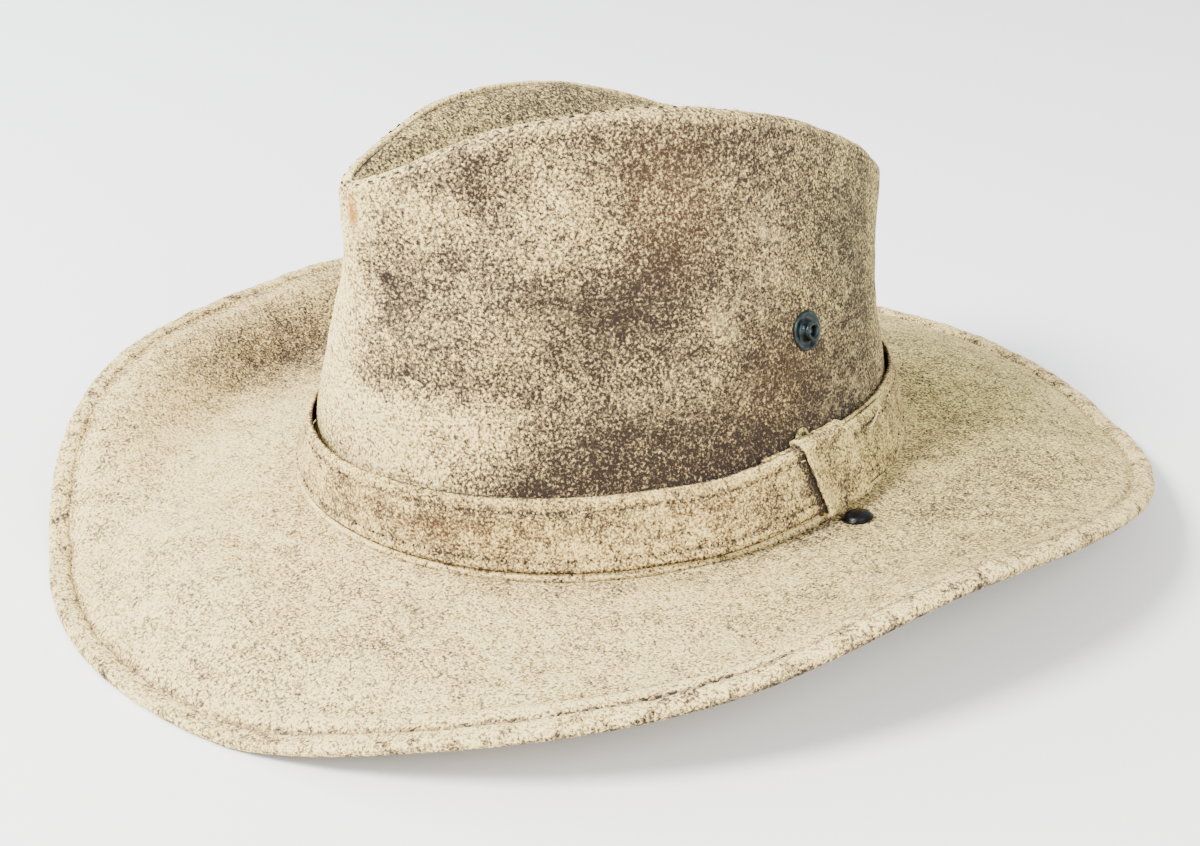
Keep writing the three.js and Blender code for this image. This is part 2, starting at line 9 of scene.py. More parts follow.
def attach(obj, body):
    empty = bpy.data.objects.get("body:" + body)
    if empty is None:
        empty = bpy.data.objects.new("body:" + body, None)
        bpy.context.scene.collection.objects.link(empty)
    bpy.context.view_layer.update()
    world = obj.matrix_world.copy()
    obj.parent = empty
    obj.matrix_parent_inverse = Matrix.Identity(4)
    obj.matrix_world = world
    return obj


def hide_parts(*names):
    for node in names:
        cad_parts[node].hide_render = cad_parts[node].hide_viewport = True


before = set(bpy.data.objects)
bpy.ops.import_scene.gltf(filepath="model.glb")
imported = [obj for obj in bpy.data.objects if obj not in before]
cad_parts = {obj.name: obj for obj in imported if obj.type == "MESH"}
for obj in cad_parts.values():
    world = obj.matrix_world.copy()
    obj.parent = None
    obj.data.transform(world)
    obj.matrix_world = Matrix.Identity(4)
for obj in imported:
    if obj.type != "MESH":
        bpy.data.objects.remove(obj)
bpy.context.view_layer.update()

# A worn suede bush hat. Shapes are worked out in millimetres round the middle of the head opening.
# Angles go round the hat in degrees, from the front (0) over the wearer's left (90) to the back.
random.seed(11)
hatPlace = np.array((1.13, -0.432, 0.0))
scene = bpy.context.scene
gap = 0.3


# Number helpers for whole arrays of points

def mix(first, second, share):
    return first + (second - first) * share


def ease(share):
    s = np.clip(share, 0, 1)
    return s * s * (3 - 2 * s)


def hermite(first, second, slopeFirst, slopeSecond, s):
    s2, s3 = s * s, s * s * s
    return ((2 * s3 - 3 * s2 + 1) * first + (s3 - 2 * s2 + s) * slopeFirst
            + (3 * s2 - 2 * s3) * second + (s3 - s2) * slopeSecond)


def unit(vectors):
    return vectors / np.maximum(np.linalg.norm(vectors, axis=-1, keepdims=True), 1e-9)


def bell(distance, width):
    return np.exp(-(distance / width) ** 2)


def angleAway(degrees, place):
    return (degrees - place + 540) % 360 - 180


# A smooth closed curve through one column of a table whose rows stand round the hat
def roundCurve(rows, column):
    at = np.array([row[0] for row in rows], float)
    value = np.array([row[column] for row in rows], float)
    ahead = np.append(at[1:], at[0] + 360)
    behind = np.insert(at[:-1], 0, at[-1] - 360)
    slope = (np.roll(value, -1) - np.roll(value, 1)) / (ahead - behind)

    def curve(degrees):
        turned = (np.asarray(degrees, float) - at[0]) % 360 + at[0]
        k = np.searchsorted(at, turned, side="right") - 1
        following = (k + 1) % len(at)
        span = ahead[k] - at[k]
        s = (turned - at[k]) / span
        return hermite(value[k], value[following], slope[k] * span, slope[following] * span, s)
    return curve


# A smooth open curve; each value is a number or an array with one number per point
def openCurve(at, values, place):
    at = np.asarray(at, float)
    values = np.stack([np.broadcast_to(np.asarray(v, float), place.shape) for v in values])
    last = len(at) - 1
    slopes = []
    for k in range(len(at)):
        low, high = max(k - 1, 0), min(k + 1, last)
        slopes.append((values[high] - values[low]) / (at[high] - at[low]))
    slopes = np.stack(slopes)
    k = np.clip(np.searchsorted(at, place, side="right") - 1, 0, last - 1)
    span = at[k + 1] - at[k]
    s = (place - at[k]) / span

    def pick(table, index):
        return np.take_along_axis(table, index[None], 0)[0]
    return hermite(pick(values, k), pick(values, k + 1),
                   pick(slopes, k) * span, pick(slopes, k + 1) * span, s)


# Soft lumps in the leather, the same on every run
def lumps(points, size, offset=0.0):
    flat = points.reshape(-1, 3) / size + offset
    return np.array([noise.noise(p) for p in flat.tolist()]).reshape(points.shape[:-1])


# Soft hills at an angle round the hat and a place up or along it, each with its own reach both ways
def hills(across, along, rows):
    total = 0
    for at, place, wide, tall, amount in rows:
        total = total + amount * bell(angleAway(across, at), wide) * bell(along - place, tall)
    return total


crown = {
    "headLength": 202, "headWidth": 166, "headEgg": 0.03,
    "leather": 2, "height": 128.5,
    "ridgeLength": 199, "ridgeLeft": 56.5, "ridgeRight": 41.5, "ridgeBack": 7, "ridgeEgg": 0.075,
    "frontPinch": 0.29, "shoulder": 4.5, "creaseLength": 166, "belly": 0.02,
    "flare": 5, "flareHeight": 14, "foot": 16.8,
    # angle, height of the foot as a share of its mean
    "footRows": [(0, 1.13), (60, 0.82), (120, 0.89), (180, 0.84), (240, 1.05), (300, 1.27)],
    # angle, height of the ridge as a share, where the tip is sewn in
    "ridgeRows": [
        (0, 0.84, 0.9), (25, 0.88, 0.98), (50, 0.97, 1.0), (75, 0.995, 1.04), (100, 0.93, 1.08),
        (125, 0.81, 1.08), (150, 0.68, 1.06), (180, 0.65, 1.0), (210, 0.69, 1.0),
        (240, 0.76, 1.0), (270, 0.89, 1.02), (300, 0.915, 1.03), (330, 0.865, 1.0),
    ],
    # place from front to back, height and sideways wander of the crease
    "creaseRows": [(0, 0.81, 0), (0.22, 0.75, 0.1), (0.5, 0.72, 0.16), (0.78, 0.67, 0.1),
                   (1, 0.62, 0.04)],
    # angle, share of the height, wide in degrees, tall and deep as shares
    "dents": [
        (34, 0.78, 24, 0.22, 0.034), (-34, 0.78, 24, 0.22, 0.034), (-6, 0.78, 16, 0.2, 0.014),
        (150, 0.6, 34, 0.36, 0.026), (205, 0.6, 34, 0.36, 0.02), (62, 0.45, 14, 0.16, 0.016),
        (24, 0.36, 12, 0.12, 0.014), (48, 0.7, 12, 0.14, -0.014), (36, 0.2, 14, 0.12, -0.012),
        (88, 0.62, 16, 0.2, -0.012),
    ],
    # angle, millimetres over the floor, wide, tall, and how far the leather stands out
    "folds": [(13.6, 102, 1.3, 8, -1.3), (21, 97.5, 3, 2.2, -1.0), (26, 58, 14, 8, 1.4),
              (24, 71, 16, 6, -1.2)],
}
brim = {
    "width": 84.5, "leather": 2.2, "reach": 0.98, "fall": 1.4, "tuck": 1,
    # angle, rise of the edge, and how far the inner, middle and outer leather bends
    "rows": [
        (-14, -0.02, 0, 0.03, 0.02), (18, -0.02, 0.01, 0.04, 0.03), (42, 0.15, 0, 0, 0),
        (66, 0.27, -0.01, -0.03, -0.03), (90, 0.41, -0.01, -0.04, -0.04),
        (112, 0.33, 0, -0.02, -0.03), (136, 0.13, 0.02, 0.03, 0.01), (162, -0.02, 0.02, 0.04, 0.03),
        (190, -0.04, 0.01, 0.03, 0.02), (218, -0.02, 0, 0.02, 0.02), (242, 0.13, -0.01, 0, 0),
        (266, 0.34, -0.05, -0.06, -0.02), (292, 0.36, -0.09, -0.12, -0.01),
        (320, 0.33, -0.08, -0.11, 0),
    ],
}
hem = {"width": 6.8, "height": 4.2}

footLift = roundCurve(crown["footRows"], 1)
ridgeShare = roundCurve(crown["ridgeRows"], 1)
seamShare = roundCurve(crown["ridgeRows"], 2)
hemRise = roundCurve(brim["rows"], 1)
brimInner = roundCurve(brim["rows"], 2)
brimMiddle = roundCurve(brim["rows"], 3)
brimOuter = roundCurve(brim["rows"], 4)


def footPlan(degrees):
    turn = np.radians(degrees)
    sine, cosine = np.sin(turn), np.cos(turn)
    halfLength = crown["headLength"] / 2 + crown["leather"]
    halfWidth = crown["headWidth"] / 2 + crown["leather"]
    egg = crown["headEgg"]
    point = np.stack([halfWidth * sine * (1 - egg * cosine), -halfLength * cosine], -1)
    sideways = halfWidth * (cosine * (1 - egg * cosine) + egg * sine * sine)
    return point, unit(np.stack([halfLength * sine, -sideways], -1))


def ridgePoint(degrees):
    turn = np.radians(degrees)
    sine, cosine = np.sin(turn), np.cos(turn)
    reach = np.where(sine > 0, crown["ridgeLeft"], crown["ridgeRight"])
    pinch = 1 - crown["frontPinch"] * np.maximum(0, cosine) ** 2
    return np.stack([reach * sine * (1 - crown["ridgeEgg"] * cosine) * pinch,
                     crown["ridgeBack"] - crown["ridgeLength"] / 2 * cosine], -1)


def ridgePlan(degrees):
    along = ridgePoint(degrees + 1) - ridgePoint(degrees - 1)
    return ridgePoint(degrees), unit(np.stack([along[..., 1], -along[..., 0]], -1))


def brimFace(degrees, out):
    foot, outward = footPlan(degrees)
    start = crown["foot"] * footLift(degrees)
    end = hem["height"] / 2 + brim["width"] * np.maximum(0, hemRise(degrees))
    reach = np.sqrt((brim["width"] * brim["reach"]) ** 2 - (end - start) ** 2) - hem["width"] / 2
    bends = [0, brimInner(degrees), brimMiddle(degrees), brimOuter(degrees), 0]
    bend = np.where(out > 0, brim["width"] * openCurve((0, 0.35, 0.6, 0.85, 1), bends, out), 0)
    plan = foot + outward * (reach * out)[..., None]
    height = mix(start, end, np.maximum(0, out) ** brim["fall"]) + bend
    return np.concatenate([plan, height[..., None]], -1)


def crownFoot(degrees):
    outer = brimFace(degrees, np.full_like(degrees, crown["flare"] / brim["width"]))[..., 2]
    return np.maximum(crown["foot"] * footLift(degrees), outer) + brim["leather"] / 2 + gap


def ridgeHeight(degrees):
    return crown["foot"] + crown["height"] * ridgeShare(degrees)


def creasePoint(degrees):
    cosine = np.cos(np.radians(degrees))
    place = (1 - cosine) / 2
    at, rises, sides = zip(*crown["creaseRows"])
    rise, side = openCurve(at, rises, place), openCurve(at, sides, place)
    return np.stack([crown["ridgeRight"] * side,
                     crown["ridgeBack"] - crown["creaseLength"] / 2 * cosine,
                     crown["foot"] + crown["height"] * rise], -1)


# The crown's outer face. level: 0 to 1 up the side, to 2 over the shoulder, to 3 down to the crease
def crownFace(degrees, level):
    foot, footOut = footPlan(degrees)
    ridge, ridgeOut = ridgePlan(degrees)
    top = ridgeHeight(degrees)
    up = np.minimum(level, 1)
    lean = up + crown["belly"] * np.sin(np.pi * up)
    plan = mix(foot, ridge, lean[..., None])
    outward = unit(mix(footOut, ridgeOut, up[..., None]))
    bottom = crownFoot(degrees)
    rise = (top - crown["shoulder"] - bottom) * up
    flare = crown["flare"] * np.maximum(0, 1 - rise / crown["flareHeight"]) ** 2
    inner = np.clip(level - 2, 0, 1)
    dent = crown["height"] * hills(degrees, up, crown["dents"]) * (1 - ease(inner))
    plan = plan + outward * (flare - dent)[..., None]
    bend = (np.clip(level, 1, 2) - 1) * np.pi / 2
    plan = plan - ridgeOut * (crown["shoulder"] * (1 - np.cos(bend)))[..., None]
    height = np.where(level <= 1, bottom + rise, top - crown["shoulder"] * (1 - np.sin(bend)))
    crease = creasePoint(degrees)
    plan = mix(plan, crease[..., :2], inner[..., None])
    height = np.where(level > 2, mix(top, crease[..., 2], ease(inner)), height)
    return np.concatenate([plan, height[..., None]], -1)


def faceNormal(face, degrees, level, step, last):
    turned = face(degrees + 0.5, level) - face(degrees - 0.5, level)
    across = face(degrees, np.minimum(level + step, last)) - face(degrees, np.maximum(level - step, 0))
    return unit(np.cross(turned, across))


def crownNormal(degrees, level):
    capped = np.minimum(level, 2.97)
    near = faceNormal(crownFace, degrees, capped, 0.02, 3)
    far = faceNormal(crownFace, -degrees, capped, 0.02, 3)
    return np.where((level > 2.97)[..., None], unit(near + far), near)


def brimNormal(degrees, out):
    normal = faceNormal(brimFace, degrees, out, 0.02, 1)
    return normal * np.where(normal[..., 2:] < 0, -1, 1)


# Meshes from grids of points

def makePiece(name, points, faces, material, nodes=(), marksAndShade=None, sharp=None):
    points = np.asarray(points, float).reshape(-1, 3)
    faces = np.asarray(faces)
    corners = [points[faces[:, k]] for k in range(faces.shape[1])]
    volume = sum(np.einsum("ij,ij->i", corners[0], np.cross(corners[k], corners[k + 1])).sum()
                 for k in range(1, faces.shape[1] - 1))
    if volume < 0:
        faces = faces[:, ::-1]
    mesh = bpy.data.meshes.new(name)
    mesh.from_pydata(((points + hatPlace) / 1000).tolist(), [], faces.tolist())
    if marksAndShade is not None:
        colours = np.zeros((len(points), 4), np.float32)
        colours[:, :marksAndShade.shape[-1]] = marksAndShade.reshape(len(points), -1)
        mesh.attributes.new("marksAndShade", "FLOAT_COLOR", "POINT").data.foreach_set("color", colours.ravel())
    mesh.update()
    mesh.shade_smooth()
    if sharp:
        mesh.set_sharp_from_angle(angle=math.radians(sharp))
    piece = bpy.data.objects.new(name, mesh)
    scene.collection.objects.link(piece)
    mesh.materials.append(material)
    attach(piece, "root")
    if nodes:
        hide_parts(*nodes)
    return piece


# Quads over rings of equally many points; each ring is closed, and the last may meet the first
def ringFaces(rings, size, wrap=True):
    ring = np.arange(rings if wrap else rings - 1)[:, None]
    k = np.arange(size)[None, :]
    here, there = ring * size, ((ring + 1) % rings) * size
    following = (k + 1) % size
    return np.stack([here + k, there + k, there + following, here + following], -1).reshape(-1, 4)


def endFaces(first, size):
    return np.array([[first + k, first + k + 1, first + size - 2 - k, first + size - 1 - k]
                     for k in range(size // 2 - 1)])


# Rings in a row, closed at both ends
def tubeFaces(rings, size, first=0):
    return np.concatenate([first + ringFaces(rings, size, False), endFaces(first, size)[:, ::-1],
                           endFaces(first + (rings - 1) * size, size)])


def ringsAlong(centre, side, up, thick, sides, flat=1.0):
    turns = np.arange(sides) * 2 * np.pi / sides
    across, over = np.cos(turns)[None, :, None], flat * np.sin(turns)[None, :, None]
    return centre[:, None] + (side[:, None] * across + up[:, None] * over) * thick[:, None, None]


# Soft marks on the leather, and painted shade: 0 tone, raised where rubbed pale and lowered where soiled
# and where shade is painted, 1 olive, 2 rust, 3 scuffed up into pale fibres
def paintMarksAndShade(across, along, looks):
    shape = np.broadcast_shapes(across.shape, along.shape)
    marksAndShade = np.zeros((*shape, 4)) + np.array((*looks["start"], 0))
    for channel, *spot in looks["spots"]:
        marksAndShade[..., channel] += hills(across, along, [spot])
    return np.clip(marksAndShade, 0, 1)


# Materials

# Gives each socket a number or a colour, or links it to another node's output
def plug(tree, node, sources):
    for name, source in sources.items():
        socket = node.inputs[name]
        if isinstance(source, bpy.types.NodeSocket):
            tree.links.new(source, socket)
        elif source is not None:
            socket.default_value = (*source, 1) if socket.type == "RGBA" else source


def addNode(tree, kind, sources, **settings):
    node = tree.nodes.new(kind)
    for key, value in settings.items():
        setattr(node, key, value)
    plug(tree, node, sources)
    return node


def blankMaterial(name):
    material = bpy.data.materials.new(name)
    material.use_nodes = True
    tree = material.node_tree
    coords = addNode(tree, "ShaderNodeTexCoord", {}).outputs["Object"]
    return material, tree, tree.nodes["Principled BSDF"], coords


def noiseNode(tree, coords, scale, detail=3.0, rough=0.55, stretch=None):
    if stretch:
        coords = addNode(tree, "ShaderNodeMapping", {"Vector": coords, "Scale": stretch}).outputs["Vector"]
    return addNode(tree, "ShaderNodeTexNoise", {"Vector": coords, "Scale": scale, "Detail": detail,
                                                "Roughness": rough}).outputs["Fac"]


def rangeNode(tree, value, low, high, toLow=0.0, toHigh=1.0):
    ends = {0: value, 1: low, 2: high, 3: toLow, 4: toHigh}
    return addNode(tree, "ShaderNodeMapRange", ends).outputs["Result"]


def mathNode(tree, operation, first, second=None, clamp=False):
    return addNode(tree, "ShaderNodeMath", {0: first, 1: second},
                   operation=operation, use_clamp=clamp).outputs[0]


# The sockets 6 and 7 are the two colours
def mixColour(tree, share, first, second, blend="MIX"):
    return addNode(tree, "ShaderNodeMix", {0: share, 6: first, 7: second},
                   data_type="RGBA", blend_type=blend, clamp_factor=True).outputs[2]


def bumpNode(tree, height, strength, distance):
    return addNode(tree, "ShaderNodeBump", {"Height": height, "Strength": strength,
                                            "Distance": distance}).outputs["Normal"]


# Suede: one run of colours from dark, for soiled leather and painted shade, to rubbed pale, moved up and
# down by the nap's fine grain
suede = {
    # place on the run, colour
    "tones": [(0.0, (0.022, 0.013, 0.007)), (0.22, (0.078, 0.051, 0.03)),
              (0.44, (0.195, 0.142, 0.083)), (0.66, (0.46, 0.32, 0.127)),
              (0.84, (0.8, 0.55, 0.172)), (1.0, (0.98, 0.78, 0.36))],
    "rust": (0.36, 0.15, 0.012), "fibre": (0.92, 0.7, 0.34), "olive": (0.86, 0.98, 0.8),
}


def suedeMaterial(name, looks):
    material, tree, shader, coords = blankMaterial(name)

    def add(first, second, clamp=False):
        return mathNode(tree, "ADD", first, second, clamp)

    def times(first, second):
        return mathNode(tree, "MULTIPLY", first, second)

    def fromMiddle(value):
        return mathNode(tree, "ABSOLUTE", mathNode(tree, "SUBTRACT", value, 0.5))

    marksAndShade = addNode(tree, "ShaderNodeAttribute", {}, attribute_name="marksAndShade").outputs
    channels = addNode(tree, "ShaderNodeSeparateColor", {"Color": marksAndShade["Color"]}).outputs
    broad = noiseNode(tree, coords, 26, 2)
    patch = noiseNode(tree, coords, 95, 4, 0.62)
    cluster = noiseNode(tree, coords, 330, 2, 0.6)
    speck = noiseNode(tree, coords, looks["grain"], 3, 0.72)
    curl = noiseNode(tree, coords, looks["grain"] * 0.7, 1, 0.5)
    # thin dark gaps where the nap parts
    parting = rangeNode(tree, fromMiddle(curl), 0.0, 0.1,
                        0.5 - looks["part"], 0.5 + looks["part"] * 0.6)
    grain = add(times(speck, 0.62), add(times(cluster, looks["cluster"]), times(parting, 0.26)))
    low, high = 0.24 + looks["cluster"] / 2, 0.64 + looks["cluster"] / 2
    tone = channels["Red"]
    for value, first, last, reach in ((broad, 0.3, 0.7, looks["broad"]), (patch, 0.3, 0.7, looks["patch"]),
                                      (grain, low, high, looks["speck"])):
        tone = add(tone, rangeNode(tree, value, first, last, -reach, reach))
    ramp = addNode(tree, "ShaderNodeValToRGB", {"Fac": tone})
    bar = ramp.color_ramp
    while len(bar.elements) < len(suede["tones"]):
        bar.elements.new(0.5)
    for element, (place, colour) in zip(bar.elements, suede["tones"]):
        element.position = place
        element.color = (*[c * t for c, t in zip(colour, looks["tint"])], 1)
    colour = mixColour(tree, channels["Green"], ramp.outputs["Color"],
                       mixColour(tree, 1.0, ramp.outputs["Color"], suede["olive"], "MULTIPLY"))
    rust = times(channels["Blue"], rangeNode(tree, grain, 0.38, 0.58, 1.3, 0.7))
    colour = mixColour(tree, rust, colour, suede["rust"])
    # pale scuffed fibres, long and thin
    fibre = noiseNode(tree, coords, 230, 3, 0.6, (1, 0.45, 1.2))
    fibre = add(rangeNode(tree, fromMiddle(fibre), 0.0, 0.03, 1.0, 0.0),
                rangeNode(tree, patch, 0.5, 0.66, -0.3, 0.35), True)
    colour = mixColour(tree, times(fibre, marksAndShade["Alpha"]), colour, suede["fibre"])
    plug(tree, shader, {"Base Color": colour, "Roughness": 0.95, "Specular IOR Level": 0.08,
                        "Sheen Weight": 0.05, "Sheen Roughness": 0.7,
                        "Normal": bumpNode(tree, add(grain, times(patch, 0.4)), 1.0, 0.0022)})
    return material


# grain is how fine the nap is; the others are how much each size of change moves the tone
crownSuede = suedeMaterial("crownSuede", {"grain": 1150, "cluster": 0.12, "part": 0.1, "broad": 0.06,
                                          "patch": 0.12, "speck": 1.25, "tint": (1, 1, 1)})
brimSuede = suedeMaterial("brimSuede", {"grain": 1150, "cluster": 0.13, "part": 0.14, "broad": 0.06,
                                        "patch": 0.13, "speck": 1.15, "tint": (1, 1, 1)})
bandSuede = suedeMaterial("bandSuede", {"grain": 1300, "cluster": 0.16, "part": 0.08, "broad": 0.05,
                                        "patch": 0.2, "speck": 1.15, "tint": (1, 0.98, 0.9)})
print("materials ready")


def threadMaterial(name, colour, deep):
    material, tree, shader, coords = blankMaterial(name)
    wave = addNode(tree, "ShaderNodeTexWave", {"Vector": coords, "Scale": 700, "Distortion": 3.0})
    twist = wave.outputs["Fac"]
    plug(tree, shader, {"Base Color": mixColour(tree, twist, deep, colour), "Roughness": 0.8,
                        "Normal": bumpNode(tree, twist, 0.5, 0.0003)})
    return material


def metalMaterial(name, looks):
    material, tree, shader, coords = blankMaterial(name)
    blotch = noiseNode(tree, coords, 420, 4, 0.65)
    scratch = noiseNode(tree, coords, 900, 3, 0.6, (1, 1, 6))
    colour = mixColour(tree, rangeNode(tree, blotch, 0.4, 0.62), looks["dark"], looks["light"])
    roughness = rangeNode(tree, blotch, 0.3, 0.7, looks["smooth"], looks["rough"])
    plug(tree, shader, {"Base Color": colour, "Roughness": roughness, "Metallic": looks["metal"],
                        "Specular IOR Level": looks["shine"],
                        "Normal": bumpNode(tree, scratch, 0.25, 0.0003)})
    return material


hemThread = threadMaterial("hemThread", (0.5, 0.34, 0.17), (0.2, 0.13, 0.065))
paleThread = threadMaterial("paleThread", (0.8, 0.62, 0.34), (0.45, 0.32, 0.16))
holeShade = threadMaterial("holeShade", (0.03, 0.018, 0.01), (0.012, 0.008, 0.005))
studMetal = metalMaterial("studMetal", {"dark": (0.006, 0.009, 0.01), "light": (0.026, 0.04, 0.043),
                                        "smooth": 0.22, "rough": 0.42, "metal": 0.7, "shine": 0.5})
snapEnamel = metalMaterial("snapEnamel", {"dark": (0.002, 0.002, 0.0025), "light": (0.004, 0.0045, 0.005),
                                          "smooth": 0.16, "rough": 0.3, "metal": 0.0, "shine": 0.12})


# The crown's side wall with its turned foot and rough upper edge

crownMarks = {
    "start": (0.37, 0.1, 0.0),
    # channel, angle, height, wide, tall, amount
    "spots": [
        (0, -8, 85, 22, 62, 0.64), (0, 26, 50, 20, 20, 0.46), (0, 44, 55, 10, 8, 0.18),
        (0, 66, 40, 26, 15, -0.34), (0, 96, 44, 20, 16, -0.16), (0, 112, 52, 10, 14, -0.14),
        (0, 74, 102, 5, 18, -0.14), (0, 79, 131, 13, 6, -0.18), (0, 58, 117, 9, 14, 0.34),
        (0, 34, 117, 9, 10, 0.34), (0, 23, 92, 6, 7, -0.2), (0, 30, 79, 12, 8, -0.06),
        (0, 64, 88, 7, 12, -0.2), (0, 74, 76, 6, 8, -0.16), (0, 90, 68, 7, 8, -0.12),
        (0, 100, 66, 9, 12, -0.16), (0, 82, 84, 6, 20, 0.14), (0, 92, 96, 6, 12, 0.16),
        (0, 46, 126, 5, 6, -0.1), (0, 116, 92, 6, 20, -0.1), (0, 44, 92, 10, 14, 0.1),
        (0, 122, 112, 8, 10, 0.25), (0, 140, 60, 12, 60, 0.14), (0, 230, 80, 60, 60, 0.3),
        (0, 300, 80, 30, 60, 0.3), (0, 18, 116, 12, 10, 0.2),
        (0, 22, 70, 17, 5, -0.3), (0, 23, 111, 5, 7, -0.15), (0, 52, 40, 14, 8, -0.2),
        (0, 47, 122, 6, 6, -0.18), (0, 52, 94, 7, 6, -0.18), (0, 66, 54, 10, 9, -0.2),
        (0, 75, 98, 8, 20, -0.12), (0, 88, 90, 8, 14, -0.15), (0, 104, 42, 12, 8, -0.2),
        (0, 89, 54, 3, 4, 0.12), (0, 125, 106, 8, 14, -0.22), (0, 8, 99, 5, 8, 0.1),
        (0, 40, 108, 14, 12, -0.07), (0, 66, 88, 12, 10, -0.14), (0, 62, 44, 12, 12, -0.12),
        (0, 84, 100, 10, 20, -0.08), (0, 124, 70, 8, 30, -0.12), (0, -4, 44, 14, 16, -0.12),
        (0, 19.5, 98.6, 1.7, 1.5, -0.75), (0, 22.6, 96.2, 2, 1.3, -0.5),
        (0, 26, 93, 4, 2, -0.12), (0, 13.6, 101, 1, 6, -0.3),
        (0, 0, 123.5, 5, 2.4, -0.8), (0, 44, 131, 4, 4, -0.12), (0, 84, 134, 1.6, 1.6, -0.4),
        (3, 88, 86, 7, 14, 0.5), (3, 119, 72, 8, 28, 0.6), (3, 97, 106, 6, 12, 0.45),
        (3, 80, 62, 12, 7, 0.35), (3, 60, 90, 10, 8, 0.2), (3, 30, 86, 8, 4, 0.4), (3, 106, 50, 8, 6, 0.45),
        (1, 118, 80, 16, 60, 0.5), (1, 150, 80, 30, 60, 0.5),
        (2, 8, 116.5, 2.6, 4.6, 1.6), (2, 98, 62, 10, 16, 0.05), (2, 14, 40, 10, 10, 0.08),
        (2, 78, 120, 10, 20, 0.08),
    ],
}


def crownRelief(points, degrees, level):
    fade = np.clip(level * 8, 0, 1)
    rough = 0.7 * lumps(points, 26) + 0.3 * lumps(points, 9, 5) + 0.16 * lumps(points, 2.6, 9)
    return fade * rough + hills(degrees, points[..., 2], crown["folds"])


def makeCrownSide(steps=480, fine=112, over=16, inside=22):
    degrees = np.arange(steps) * 360 / steps
    seam = 1 + seamShare(degrees)
    levels = [np.full(steps, value) for value in np.linspace(0, 0.95, fine)]
    levels += [mix(0.95, seam, k / over) for k in range(1, over + 1)]
    level = np.stack(levels, 1)
    turn = np.broadcast_to(degrees[:, None], level.shape)
    points = crownFace(turn, level)
    normal = crownNormal(turn, level)
    outer = points + normal * crownRelief(points, turn, level)[..., None]
    last = level.shape[1]
    inwardPick = np.linspace(last - 1, 0, inside).astype(int)
    inner = (points - normal * crown["leather"])[:, inwardPick]
    inner[:, -1, 2] = points[:, 0, 2]
    tip, under = outer[:, -1], inner[:, 0]
    sideways = unit(tip - outer[:, -2])
    edge = [mix(tip, under, share)[:, None] + sideways[:, None] * bulge
            for share, bulge in ((0.12, 0.22), (0.5, 0.35), (0.88, 0.2))]
    grid = np.concatenate([outer, *edge, inner], 1)
    marksAndShade = paintMarksAndShade(degrees[:, None], grid[..., 2], crownMarks)
    # rubbed over the shoulder, pale like the brim under the band, and bare at the cut edge
    marksAndShade[:, :last, 0] += 0.22 * ease((level - 1.0) / 0.5) + 0.45 * (1 - ease((level - 0.02) / 0.03))
    marksAndShade[:, last - 2:last + 4, 0] = 0.85
    return makePiece("crownSide", grid, ringFaces(steps, grid.shape[1]), crownSuede,
                     ["crown_side"], marksAndShade)


# The tip, sewn in just under the ridge and pushed down along its crease

tipMarks = {
    "start": (0.34, 0.5, 0),
    # channel, angle, height, wide, tall, amount
    "spots": [(0, 330, 122, 24, 6, 0.12), (0, 305, 130, 16, 6, 0.16), (0, 20, 112, 24, 8, -0.3),
              (0, 345, 112, 14, 6, -0.2), (0, 90, 128, 40, 12, 0.15)],
}


def makeCrownTip(steps=480, fine=64, inside=14):
    degrees = np.arange(steps) * 360 / steps
    start = 1 + seamShare(degrees)
    pace = np.linalg.norm(crownFace(degrees, start) - crownFace(degrees, start + 0.01), axis=-1) / 0.01
    start = start + gap / pace
    shares = np.linspace(0, 1, fine) ** 1.15
    level = mix(start[:, None], 3.0, shares[None, :])
    turn = np.broadcast_to(degrees[:, None], level.shape)
    points = crownFace(turn, level)
    normal = crownNormal(turn, level)
    distance = (level - level[:, :1]) * pace[:, None]
    tuck = 0.9 * (1 - ease(distance / 5)) + 0.35 * bell(distance - 3.4, 0.7)
    fade = (1 - ease((shares - 0.8) / 0.2))[None, :]
    rough = fade * (0.6 * lumps(points, 24, 3) + 0.16 * lumps(points, 2.6, 9))
    outer = points + normal * (rough - tuck)[..., None]
    pick = np.linspace(0, fine - 1, inside).astype(int)
    inner = (points - normal * crown["leather"])[:, pick]
    grid = np.concatenate([outer[:, ::-1], inner], 1).transpose(1, 0, 2)
    rings = grid.shape[0]
    faces = ringFaces(rings, steps, False)
    ring, k = faces // steps, faces % steps
    onCrease = (ring == 0) | (ring == rings - 1)
    # both sides of the crease share one row of points
    faces = ring * steps + np.where(onCrease, np.minimum(k, steps - k), k)
    marksAndShade = paintMarksAndShade(degrees[None, :], grid[..., 2], tipMarks)
    seamShade = 0.5 * bell(angleAway(degrees, 340), 50) * (1 - ease(distance / 1.3)[:, ::-1]).T
    marksAndShade[:fine, :, 0] -= seamShade
    return makePiece("crownTip", grid, faces, crownSuede, ["crown_tip"], marksAndShade)


# The brim: one sheet with a flat ridge just inside its stitched hem

